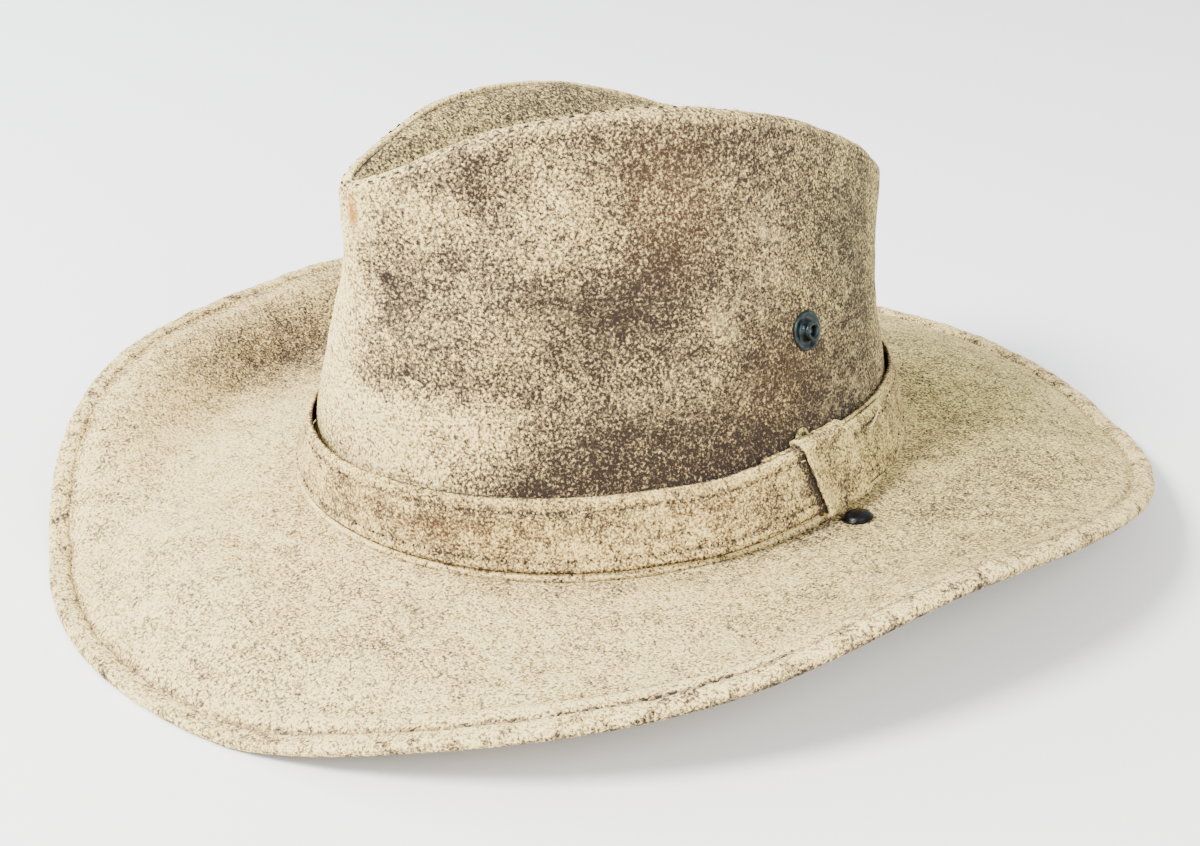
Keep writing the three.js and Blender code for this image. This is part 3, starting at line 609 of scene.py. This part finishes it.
brimMarksAndShade = {
    "start": (0.83, 0.1, 0),
    # channel, angle, share of the way out, wide, tall, amount
    "spots": [
        # the first spot, at 294 degrees, darkens the steep far-left roll of the brim: painted shade
        (0, 294, 0.68, 21, 0.2, -0.42), (0, 318, 0.35, 24, 0.3, 0.05), (0, 352, 0.18, 22, 0.2, -0.1),
        # the spot at 98 degrees just outside the crown's foot is painted shadow under the band; the one at
        # 160 degrees is painted shadow of the crown
        (0, 98, 0.05, 14, 0.14, -0.35), (0, 110, 0.3, 14, 0.2, -0.1), (0, 160, 0.3, 34, 0.5, -0.22),
        # the first spot, at 60 degrees just outside the crown's foot, is painted shadow under the band
        (0, 60, 0.05, 40, 0.07, -0.14), (0, 50, 0.5, 40, 0.3, -0.04),
        (0, 128, 0.6, 26, 0.4, -0.14), (0, 105, 0.6, 24, 0.5, -0.06),
        (1, 160, 0.4, 40, 0.6, 0.8), (1, 96, 0.5, 30, 0.8, 0.25), (2, 352, 0.2, 20, 0.2, 0.1),
        (3, 87.6, 0.42, 4, 0.03, 0.7), (3, 97.5, 0.64, 6, 0.07, 0.9), (3, 122, 0.5, 6, 0.05, 0.5),
        (3, 332, 0.55, 30, 0.5, 0.3), (3, 327, 0.77, 16, 0.14, 0.5), (3, 345, 0.7, 14, 0.14, 0.5),
        (3, 0, 0.85, 10, 0.1, 0.5),
        (0, 84, 0.55, 12, 0.14, -0.12), (0, 20, 0.3, 18, 0.14, -0.08), (0, 2, 0.45, 12, 0.16, -0.07),
        # the last spot, at 70 degrees near the crown's foot, is painted shadow under the band
        (0, 340, 0.3, 26, 0.3, 0.1), (0, 70, 0.14, 30, 0.07, -0.12),
    ],
}


def brimRelief(points, degrees, out):
    inEdge = (1 - out) * brim["width"]
    sewn = 0.25 + 0.75 * bell(angleAway(degrees, 62), 48)
    ridge = sewn * (0.9 * bell(inEdge - 5.2, 2.4) - 0.9 * bell(inEdge - 0.6, 1.3)
                    - 0.25 * bell(inEdge - 10, 2))
    soft = 1.0 * lumps(points, 42, 2) + 0.4 * lumps(points, 15, 7) + 0.14 * lumps(points, 2.6, 4)
    return ridge + soft * ease(inEdge / 10) * ease(out * 6) + 0.14 * lumps(points, 2.6, 4)


def makeBrim(steps=600, fine=96, inside=20):
    degrees = np.arange(steps) * 360 / steps
    spread = np.linspace(0, 1, fine)
    out = (1 + 0.7 / brim["width"]) * (1.35 * spread - 0.35 * spread ** 3)
    turn = np.broadcast_to(degrees[:, None], (steps, fine))
    level = np.broadcast_to(out[None, :], (steps, fine))
    points = brimFace(turn, level)
    normal = brimNormal(turn, level)
    _, outward = footPlan(degrees)
    start = crown["flare"] - crown["leather"] - brim["tuck"]
    points[:, 0, :2] += outward * start
    top = points + normal * (brim["leather"] / 2 + brimRelief(points, turn, level))[..., None]
    pick = np.linspace(fine - 1, 0, inside).astype(int)
    bottom = (points - normal * brim["leather"] / 2)[:, pick]
    grid = np.concatenate([top, bottom], 1)
    across = np.concatenate([level, level[:, pick]], 1)
    marksAndShade = paintMarksAndShade(degrees[:, None], across, brimMarksAndShade)
    inEdge = (1 - level) * brim["width"]
    broken = np.clip(lumps(top, 7, 3) * 2.2 + 0.3, 0, 1) * np.clip(lumps(top, 1.6, 8) * 3 + 0.8, 0, 1)
    near = 0.25 + bell(angleAway(turn, 60), 24)
    upper = marksAndShade[:, :fine, 0]
    # paler along the raised ridge 5 mm in from the hem; darker in the grooves about 10 mm and 1 mm in,
    # broken up by noise: painted shade in the grooves
    upper += near * (0.2 * bell(inEdge - 5.2, 2.4) - 0.12 * bell(inEdge - 9.6, 1.8)
                     - 0.3 * bell(inEdge - 0.9, 1.2) - 0.9 * broken * bell(inEdge - 1.2, 0.9))
    # painted shade: darker over the brim's first 4.5 mm under the crown's foot, and at the seam with the
    # hem
    upper -= 0.5 * (1 - ease(level * brim["width"] / 4.5)) + 0.9 * near * (1 - ease((inEdge + 0.6) / 0.9))
    marksAndShade[:, fine + 2:, 0] = 0.42  # the underside
    return makePiece("brimLeather", grid, ringFaces(steps, grid.shape[1]), brimSuede,
                     ["brim"], marksAndShade, 50)


# The hem: a folded, stuffed edge

def hemOutline(count=28):
    turn = np.arange(count) * 2 * np.pi / count
    across = np.sign(np.cos(turn)) * np.abs(np.cos(turn)) ** 0.75 * hem["width"] / 2
    up = np.sign(np.sin(turn)) * np.abs(np.sin(turn)) ** 0.75 * hem["height"] / 2
    return across, up


# channel, angle, millimetres over the middle of the hem, wide, tall, amount
hemMarks = {"start": (0.88, 0.12, 0), "spots": [(0, 80, -1.0, 46, 1.2, -0.5)]}


def makeHem(steps=900):
    degrees = np.arange(steps) * 360 / steps
    _, outward = footPlan(degrees)
    edge = brimFace(degrees, np.ones(steps))
    outward = np.concatenate([outward, np.zeros((steps, 1))], 1)
    middle = edge + outward * hem["width"] / 2
    across, up = hemOutline()
    grid = (middle[:, None] + outward[:, None] * across[None, :, None]
            + np.array((0, 0, 1.0)) * up[None, :, None])
    upper = ease(up / hem["height"] + 0.6)[None, :]
    direction = unit(outward[:, None] * across[None, :, None] + np.array((0, 0, 1.6)) * up[None, :, None])
    rough = 0.5 * lumps(grid, 11, 3) + 0.3 * lumps(grid, 3, 8)
    grid = grid + direction * (rough * upper)[..., None]
    marksAndShade = paintMarksAndShade(degrees[:, None], up[None, :], hemMarks)
    # painted shade: darker on the bead's side towards the brim, in the seam groove
    marksAndShade[..., 0] -= 0.16 * ease(-across / hem["width"] * 3 - 0.6)[None, :]
    marksAndShade[..., 0] = np.clip(marksAndShade[..., 0] + 0.7 * np.minimum(0, lumps(grid, 4, 6) + 0.05), 0, 1)
    marksAndShade[..., 0] = np.where(up[None, :] < -1.4, 0.4, marksAndShade[..., 0])
    grid[..., 2] = np.maximum(grid[..., 2], 0.02)
    return makePiece("hemBead", grid, ringFaces(steps, grid.shape[1]), brimSuede,
                     ["brim_hem"], marksAndShade)


# The hat band with its cut tab, and the keeper

band = {
    "width": 20.5, "leather": 1.5, "lift": 2.2, "slack": 2.7, "start": 90, "end": 127,
    "lead": 21, "ramp": 14, "corner": 7, "lowerCorner": 5.6, "seamIn": 3.6,
    # angle, how far the upper edge stands off the crown
    "rows": [(-30, 0.2), (-10, 0.75), (4, 1.05), (16, 1.05), (28, 0.5), (42, 0.03), (75, 0),
             (128, 0.05), (146, 0.5), (165, 0.4), (190, 0.05), (250, 0), (300, 0.05)],
}
keeper = {"angle": 106.2, "width": 20.5, "leather": 1.0, "slack": 0.35, "clear": 0.8, "lift": 2.3,
          "slant": 3.4, "near": 7, "span": 20}
keeperHalf = math.degrees(keeper["width"] / crown["headLength"])
keeperRoom = keeper["leather"] + keeper["slack"] + keeper["clear"]
slackShare = roundCurve(band["rows"], 1)


def keeperEase(degrees):
    away = np.abs(angleAway(degrees, keeper["angle"]))
    return 1 - ease((away - keeper["near"]) / keeper["span"])


def bandPlace(turn, up, stand):
    bottom = crownFoot(turn)
    side = ridgeHeight(turn) - crown["shoulder"] - bottom
    near = keeperEase(turn)
    lift = band["lift"] + keeper["lift"] * near
    low = crownFace(turn, lift / side)
    high = crownFace(turn, (lift + band["width"]) / side)
    _, outward = footPlan(turn)
    slack = band["slack"] * np.maximum(0, slackShare(turn)) * up
    out = gap + slack + keeperRoom * near + stand
    point = mix(low, high, up[..., None])
    point[..., :2] += outward * out[..., None]
    return point


def bandPoint(turn, up, depth):
    climbed = ease((turn - (band["start"] + 360 - band["lead"])) / band["ramp"])
    return bandPlace(turn, up, climbed * (band["leather"] + gap) + band["leather"] * depth)


bandMarks = {
    "start": (0.66, 0.1, 0.0),
    # channel, angle, millimetres up the band, wide, tall, amount
    "spots": [
        (2, 10, 13, 9, 5, 0.09), (2, 30, 10, 12, 5, 0.11), (2, 46, 11, 10, 4, 0.1),
        (2, 76, 13, 12, 5, 0.07),
        (0, 12, 12, 9, 5, -0.14), (0, 32, 11, 14, 6, -0.26), (0, 52, 16, 9, 4, -0.22),
        (0, 74, 15, 14, 4, -0.12), (0, 92, 8, 10, 6, -0.16), (0, 48, 1, 40, 1.5, -0.1),
        (0, -10, 10, 12, 12, 0.12), (1, 118, 10, 24, 30, 0.5),
    ],
}


def makeBand(steps=900, fine=30, inside=8):
    first, last = band["start"], band["end"] + 360
    turn = np.linspace(first, last, steps)
    pace = np.linalg.norm(bandPoint(np.array([last]), np.ones(1), 1)
                          - bandPoint(np.array([last - 1.0]), np.ones(1), 1))
    cut = np.maximum(0, 1 - (last - turn) * pace / band["corner"])
    low, high = cut * band["lowerCorner"] / band["width"], 1 - cut * band["corner"] / band["width"]
    across = np.linspace(0, 1, fine)
    up = mix(low[:, None], high[:, None], across[None, :])
    spread = np.broadcast_to(turn[:, None], up.shape)
    fromEdge = np.minimum(up, 1 - up) * band["width"]
    puff = (0.35 * ease(fromEdge / 3) - 0.45 * bell(fromEdge - band["seamIn"], 0.7)
            - 0.5 * bell(fromEdge, 0.7))
    base = bandPoint(spread, up, 1.0)
    outward = unit(bandPoint(spread, up, 2.0) - base)
    rough = 0.25 * lumps(base, 14, 6) + 0.14 * lumps(base, 2.6, 2)
    outer = base + outward * (puff + rough)[..., None]
    pick = np.linspace(fine - 1, 0, inside).astype(int)
    inner = bandPoint(spread, up, 0.0)[:, pick]
    outer[:, -2:, 2] += 0.25 * lumps(outer[:, -1:], 6, 1)
    grid = np.concatenate([outer, inner], 1)
    faces = tubeFaces(steps, grid.shape[1])
    heights = np.concatenate([up, up[:, pick]], 1) * band["width"]
    marksAndShade = paintMarksAndShade(turn[:, None], heights, bandMarks)
    edges = np.minimum(heights, band["width"] - heights)
    marksAndShade[..., 0] += 0.12 * bell(edges, 2.4) - 0.24 * bell(edges - band["seamIn"], 0.6)
    # painted shadow: the strap is darkened in a narrow strip along the keeper's front edge
    keeperEdge = keeper["angle"] - keeperHalf - keeper["slant"] * heights / band["width"]
    leftOf = angleAway(turn[:, None], keeperEdge)
    marksAndShade[..., 0] -= 0.55 * ease((leftOf + 2.2) / 2.2) * (leftOf < 2)
    # painted shade: the strap's side towards the crown is made dark
    marksAndShade[:, fine:, 0] = 0.16  # the side towards the crown
    # painted shade: the two lowest rows of the strap's face are darkened along its lower edge
    marksAndShade[:, 0, 0] = 0.12
    marksAndShade[:, 1, 0] -= 0.3
    return makePiece("bandStrap", grid, faces, bandSuede, ["hat_band"], marksAndShade)


def makeKeeper(corner=6, radius=0.9, columns=33, count=120):
    across = np.linspace(-1, 1, columns)
    inHigh = 2 * band["leather"] + gap + keeper["slack"]
    inLow, upLow, upHigh = -keeper["slack"], -keeper["slack"], band["width"] + keeper["slack"]
    corners = [(inHigh, upLow, -90), (inHigh, upHigh, 0), (inLow, upHigh, 90), (inLow, upLow, 180)]
    inside, outside = [], []
    for stand, up, startTurn in corners:
        centre = (stand - radius if stand > 0 else stand + radius, up - radius if up > 1 else up + radius)
        for k in range(corner + 1):
            a = math.radians(startTurn + 90 * k / corner)
            inside.append((centre[0] + radius * math.cos(a), centre[1] + radius * math.sin(a)))
            far = radius + keeper["leather"]
            outside.append((centre[0] + far * math.cos(a), centre[1] + far * math.sin(a)))

    def denser(path):
        path = np.array(path + path[:1])
        length = np.insert(np.cumsum(np.linalg.norm(np.diff(path, axis=0), axis=1)), 0, 0)
        at = np.linspace(0, length[-1], count + 1)[:-1]
        return np.stack([np.interp(at, length, path[:, 0]), np.interp(at, length, path[:, 1])], 1)
    inPath, outPath = denser(inside), denser(outside)

    # the front edge stands off the strap and leans forward towards the top
    def spread(path, extra):
        up = np.broadcast_to(path[:, 1:] / band["width"], (len(path), len(across)))
        turn = keeper["angle"] + across[None, :] * keeperHalf - keeper["slant"] * up
        flare = 0.9 * ease((-across - 0.55) / 0.45)[None, :] * ease(path[:, :1] / inHigh)
        return bandPlace(turn, up, path[:, :1] + extra + flare)

    rim = 0.4 * bell(np.abs(across) - 0.86, 0.1) - 0.25 * bell(across - 0.2, 0.4)
    within, without = spread(inPath, 0), spread(outPath, rim[None, :] * (outPath[:, :1] > inHigh))
    rough = 0.3 * lumps(without, 3, 4) + 0.25 * lumps(without, 7, 2)
    without = without + rough[..., None] * unit(without - within)
    grid = np.concatenate([without, within[:, ::-1]], 1)
    marksAndShade = np.zeros(grid.shape) + np.array((0.72, 0.4, 0))
    worn = 0.2 * bell(np.abs(across) - 0.95, 0.16) - 0.22 * bell(across + 0.05, 0.5)
    marksAndShade[:, :columns, 0] += worn[None, :] + 0.1 * np.clip(lumps(without, 5, 9) * 1.6, -1, 1)
    # painted shade: the keeper's inner side, towards the strap, is made dark
    marksAndShade[:, columns:, 0] = 0.15
    return makePiece("keeperLoop", grid, ringFaces(*grid.shape[:2]), bandSuede,
                     ["band_keeper"], marksAndShade, 60)


# Stitches: short sunk capsules along a path

def stitchRow(name, path, normals, material, pitch=3.6, length=2.5, thick=0.34,
              raised=0.1, missing=0.0):
    path, normals = np.asarray(path), np.asarray(normals)
    steps = np.insert(np.cumsum(np.linalg.norm(np.diff(path, axis=0), axis=1)), 0, 0)
    count = int(steps[-1] / pitch)
    rings, sides = 7, 6
    body, faces = [], []
    for k in range(count):
        if random.random() < missing:
            continue
        start = (k + 0.5) * pitch + random.uniform(-0.15, 0.15)
        at = start + np.linspace(-0.5, 0.5, rings) * length * random.uniform(0.9, 1.08)
        centre = np.stack([np.interp(at, steps, path[:, axis]) for axis in range(3)], 1)
        up = unit(np.stack([np.interp(at, steps, normals[:, axis]) for axis in range(3)], 1))
        ahead = unit(np.gradient(centre, axis=0))
        side = np.cross(ahead, up)
        t = np.linspace(-1, 1, rings)
        centre = centre + up * (raised - (thick + 0.25) * np.abs(t) ** 3)[:, None]
        size = thick * np.sqrt(np.maximum(0.02, 1 - np.abs(t) ** 4))
        faces.append(tubeFaces(rings, sides, len(body) * rings * sides))
        body.append(ringsAlong(centre, side, up, size, sides).reshape(-1, 3))
    return makePiece(name, np.concatenate(body), np.concatenate(faces), material, ())


def makeStitches():
    turn = np.linspace(band["start"] + 360 - 358, band["end"] + 359, 1600)
    for name, up in (("bandStitchLow", band["seamIn"]), ("bandStitchHigh", band["width"] - band["seamIn"])):
        share = np.full_like(turn, up / band["width"])
        path = bandPoint(turn, share, 0.92)
        normal = unit(bandPoint(turn, share, 2) - path)
        stitchRow(name, path, normal, paleThread,
                  thick=0.25, length=2.2, raised=0.12, missing=0.6)
        stitchRow(name + "Holes", path, normal, holeShade,
                  thick=0.42, length=1.1, missing=0.2)
    turn = np.linspace(0, 359.9, 2400)
    out = np.full_like(turn, 1 - 1.0 / brim["width"])
    path, normal = brimFace(turn, out), brimNormal(turn, out)
    stitchRow("hemStitch", path + normal * (brim["leather"] / 2 - 0.45), normal, hemThread,
              pitch=3.8, length=2.6, thick=0.36)
    turn = np.linspace(-70, 96, 900)
    seam = 1 + seamShare(turn)
    for name, side in (("crownStitchOuter", -3.0), ("crownStitchInner", 3.0)):
        pace = np.linalg.norm(crownFace(turn, seam) - crownFace(turn, seam - 0.05), axis=-1) / 0.05
        level = seam + side / pace
        path, normal = crownFace(turn, level), crownNormal(turn, level)
        stitchRow(name, path + normal * (-0.05 if side < 0 else -0.5), normal, holeShade,
                  pitch=4.4, length=2.0, thick=0.27, missing=0.15)


# The thin thong that stands up behind the strap, and the thread worked loose at the free end

curl = {
    "thick": 0.75,
    # angle, millimetres over the strap's upper edge, how far it stands off the strap's inner face
    "path": [(97.4, -3, -0.3), (97.6, 0, 0.2), (98.3, 2.6, 0.8), (99.2, 3.8, 1.0), (100, 3.2, 0.8),
             (100.5, 1.2, 0.5)],
}
looseThread = {
    "thick": 0.28,
    # angle, millimetres up the strap, how deep it lies, where 1 is the strap's face
    "path": [(115.5, 15.6, 1.0), (116.8, 16.2, 1.3), (118.4, 17.6, 1.5), (119.8, 18.6, 1.5),
             (121.2, 17.6, 1.2), (122, 16.4, 1.0)],
}


def tubeAlong(name, points, thick, material, flat=1.0, rings=40, sides=10):
    points = np.array(points)
    at = np.linspace(0, len(points) - 1, rings)
    centre = np.stack([openCurve(range(len(points)), list(points[:, axis]), at) for axis in range(3)], 1)
    ahead = unit(np.gradient(centre, axis=0))
    side = unit(np.cross(ahead, np.array((0.3, 0.2, 1.0))))
    up = np.cross(side, ahead)
    size = thick * (0.35 + 0.65 * np.sqrt(np.clip(np.minimum(at, len(points) - 1 - at) * 4, 0, 1)))
    tube = ringsAlong(centre, side, up, size, sides, flat)
    marksAndShade = np.zeros(tube.shape) + np.array((0.5, 0.9, 0))
    return makePiece(name, tube, tubeFaces(rings, sides), material, (), marksAndShade)


# Short fibres that stand up along the cut edges
fibres = {
    "thick": 0.07, "seed": 5,
    # edge, first and last angle, how many, shortest and longest
    "rows": [("ridge", 4, 118, 260, 0.5, 1.5), ("hem", 0, 360, 420, 0.4, 1.3),
             ("hem", 96, 108, 26, 1.5, 4), ("strap", -20, 120, 200, 0.4, 1.2)],
}


def makeFibres(rings=5, corners=(0, 2.09, 4.19)):
    chance = random.Random(fibres["seed"])
    body, faces = [], []
    for edge, first, last, count, shortest, longest in fibres["rows"]:
        for _ in range(count):
            turn = np.array([chance.uniform(first, last)])
            if edge == "ridge":
                seat = 1 + seamShare(turn) - 0.02
                base, normal = crownFace(turn, seat)[0], crownNormal(turn, seat)[0]
            elif edge == "hem":
                _, outward = footPlan(turn)
                normal = np.append(outward[0], chance.uniform(-0.2, 0.7))
                base = brimFace(turn, np.ones(1))[0] + np.append(outward[0], 0) * (hem["width"] - 0.3)
                base[2] += chance.uniform(0, 1.2)
            else:
                base = bandPoint(turn + 360, np.array([0.97]), 0.9)[0]
                normal = unit(bandPoint(turn + 360, np.array([1.2]), 1.6)[0] - base)
            bend = np.array([chance.uniform(-0.8, 0.8) for _ in range(3)])
            ahead = unit(unit(normal) + bend)
            length = chance.uniform(shortest, longest)
            side = unit(np.cross(ahead, np.array((0.31, 0.22, 0.93))))
            up = np.cross(side, ahead)
            start = len(body) * 3
            for step in range(rings):
                share = step / (rings - 1)
                centre = base + ahead * length * share + bend[::-1] * length * 0.4 * share ** 2
                size = fibres["thick"] * (1 - 0.75 * share)
                body.append([centre + (side * math.cos(a) + up * math.sin(a)) * size for a in corners])
            quads = start + ringFaces(rings, 3, False)
            faces += [*quads[:, :3].tolist(), *quads[:, (0, 2, 3)].tolist()]
            end = start + rings * 3 - 1
            faces += [[start, start + 1, start + 2], [end, end - 1, end - 2]]
    points = np.array(body)
    points[..., 2] = np.maximum(points[..., 2], 0.05)
    marksAndShade = np.zeros(points.shape) + np.array((0.9, 0.2, 0))
    return makePiece("cutEdgeFibres", points, faces, brimSuede, (), marksAndShade)


def makeLooseEnds():
    one = np.ones(1)
    curlPoints = [bandPlace(one * turn, one * (1 + up / band["width"]), one * stand)[0]
                  for turn, up, stand in curl["path"]]
    tubeAlong("thongCurl", curlPoints, curl["thick"], bandSuede, 0.6)
    threadPoints = [bandPoint(one * (turn + 360), one * up / band["width"], one * depth)[0]
                    for turn, up, depth in looseThread["path"]]
    tubeAlong("looseThread", threadPoints, looseThread["thick"], paleThread)


# Press studs

# up is a share of the crown's side; out is in millimetres from the foot of the crown
stud = {"angle": 103.5, "up": 0.49, "flange": 12.6, "post": 6.2, "socket": 3, "rise": 3.4, "plate": 1.1}
snap = {"angle": 105, "out": 14, "cap": 10, "dome": 2.6}


def makeTurned(name, profile, middle, normal, material, node, steps=48):
    turns = np.arange(steps) * 2 * np.pi / steps
    profile = np.array(profile, float)
    grid = np.stack([profile[:, 0, None] * np.cos(turns), profile[:, 0, None] * np.sin(turns),
                     np.repeat(profile[:, 1, None], steps, 1)], -1)
    tilt = np.array(Vector((0, 0, 1)).rotation_difference(Vector(normal)).to_matrix())
    makePiece(name, grid @ tilt.T + middle, ringFaces(len(profile), steps, False), material, [node])


def makeStuds():
    angle, up = np.array([float(stud["angle"])]), np.array([stud["up"]])
    normal = crownNormal(angle, up)[0]
    middle = crownFace(angle, up)[0] - normal * crown["leather"] / 2
    half = crown["leather"] / 2 + gap
    r, post, bore = stud["flange"] / 2, stud["post"] / 2, stud["socket"] / 2
    plate, rise = stud["plate"], stud["rise"]
    profile = [(0.01, -half), (r - 0.5, half - 0.2), (r - 0.05, half + 0.3), (r, half + 0.6),
               (r - 0.15, half + 0.95), (r - 0.55, half + plate), (r - 1.1, half + plate * 0.85),
               (r - 1.6, half + plate * 0.6), (post + 1.1, half + plate * 0.45),
               (post + 0.5, half + plate * 0.5), (post + 0.15, half + plate * 0.8),
               (post - 0.12, half + rise * 0.55), (post, half + rise * 0.72), (post, half + rise - 0.45),
               (post - 0.25, half + rise - 0.08), (post - 0.6, half + rise),
               (bore + 0.5, half + rise - 0.12), (bore + 0.1, half + rise - 0.45),
               (bore, half + rise * 0.6), (bore, half + plate), (0.01, half + plate * 0.9)]
    makeTurned("studRing", profile, middle, normal, studMetal, "crown_stud")
    share = np.array([snap["out"] / brim["width"]])
    angle = np.array([float(snap["angle"])])
    normal, middle = brimNormal(angle, share)[0], brimFace(angle, share)[0]
    half, r, dome = brim["leather"] / 2 + gap, snap["cap"] / 2, snap["dome"]
    profile = [(0.01, -half), (r - 0.6, half - 0.3), (r - 0.08, half + 0.15), (r, half + 0.4),
               (r - 0.1, half + 0.6), (r - 0.5, half + 0.8)]
    profile += [((r - 0.6) * math.cos(a), half + 0.8 + (dome - 0.8) * math.sin(a))
                for a in np.radians((8, 20, 32, 44, 56, 68, 80, 89.9))]
    makeTurned("snapCap", profile, middle, normal, snapEnamel, "brim_snap")


makeCrownSide()
makeCrownTip()
print("crown made")
makeBrim()
makeHem()
print("brim made")
makeBand()
makeKeeper()
print("band made")
makeStitches()
makeLooseEnds()
makeFibres()
makeStuds()
print("stitches and studs made")


# Floor, light and camera

def makeFloor():
    mesh = bpy.data.meshes.new("floorSheet")
    reach = 6  # metres each way
    mesh.from_pydata([(-reach, -reach, 0), (reach, -reach, 0), (reach, reach, 0), (-reach, reach, 0)],
                     [], [(0, 1, 2, 3)])
    floor = bpy.data.objects.new("floorSheet", mesh)
    scene.collection.objects.link(floor)
    material, tree, shader, _ = blankMaterial("paleFloor")
    plug(tree, shader, {"Base Color": (0.86, 0.86, 0.85), "Roughness": 0.9})
    mesh.materials.append(material)


def areaLight(name, place, size, power, colour=(1, 1, 1)):
    light = bpy.data.lights.new(name, "AREA")
    light.shape = "DISK"
    light.size = size
    light.energy = power
    light.color = colour
    lamp = bpy.data.objects.new(name, light)
    lamp.location = place
    lamp.rotation_euler = (Vector((0, 0, 0.06)) - Vector(place)).to_track_quat("-Z", "Y").to_euler()
    scene.collection.objects.link(lamp)


def makeLight():
    world = bpy.data.worlds.new("studio")
    scene.world = world
    world.use_nodes = True
    plug(world.node_tree, world.node_tree.nodes["Background"],
         {"Color": (0.97, 0.985, 1), "Strength": 1.15})
    areaLight("keyLight", (-0.12, -1.5, 1.5), 0.7, 150, (1, 0.985, 0.955))
    areaLight("fillLight", (1.7, -0.2, 1.1), 1.5, 55)
    areaLight("coolLight", (-1.6, -0.9, 0.9), 1.2, 60, (0.84, 0.92, 1))


cameraSetup = {"azimuth": 56, "elevation": 22, "distance": 576, "pivot": (0, 0, 62.5),
               "aim": (0, -2.5, 22.1), "roll": -1.0, "focal": 1740}


def makeCamera():
    azimuth, elevation, roll = (math.radians(cameraSetup[key]) for key in ("azimuth", "elevation", "roll"))
    back = Vector((math.sin(azimuth) * math.cos(elevation), -math.cos(azimuth) * math.cos(elevation),
                   math.sin(elevation)))
    place = Vector(cameraSetup["pivot"]) + back * cameraSetup["distance"]
    forward = (Vector(cameraSetup["aim"]) - place).normalized()
    right = forward.cross(Vector((0, 0, 1))).normalized()
    up = right.cross(forward)
    turnedRight = right * math.cos(roll) + up * math.sin(roll)
    turnedUp = up * math.cos(roll) - right * math.sin(roll)
    data = bpy.data.cameras.new("photoView")
    data.sensor_width = 36
    data.lens = 36 * cameraSetup["focal"] / 1200
    data.clip_start, data.clip_end = 0.05, 30
    camera = bpy.data.objects.new("photoView", data)
    matrix = Matrix((turnedRight, turnedUp, -forward)).transposed().to_4x4()
    matrix.translation = (place + Vector(hatPlace)) / 1000
    camera.matrix_world = matrix
    scene.collection.objects.link(camera)
    scene.camera = camera


makeFloor()
makeLight()
makeCamera()
print("floor, light and camera ready")

bpy.context.view_layer.update()
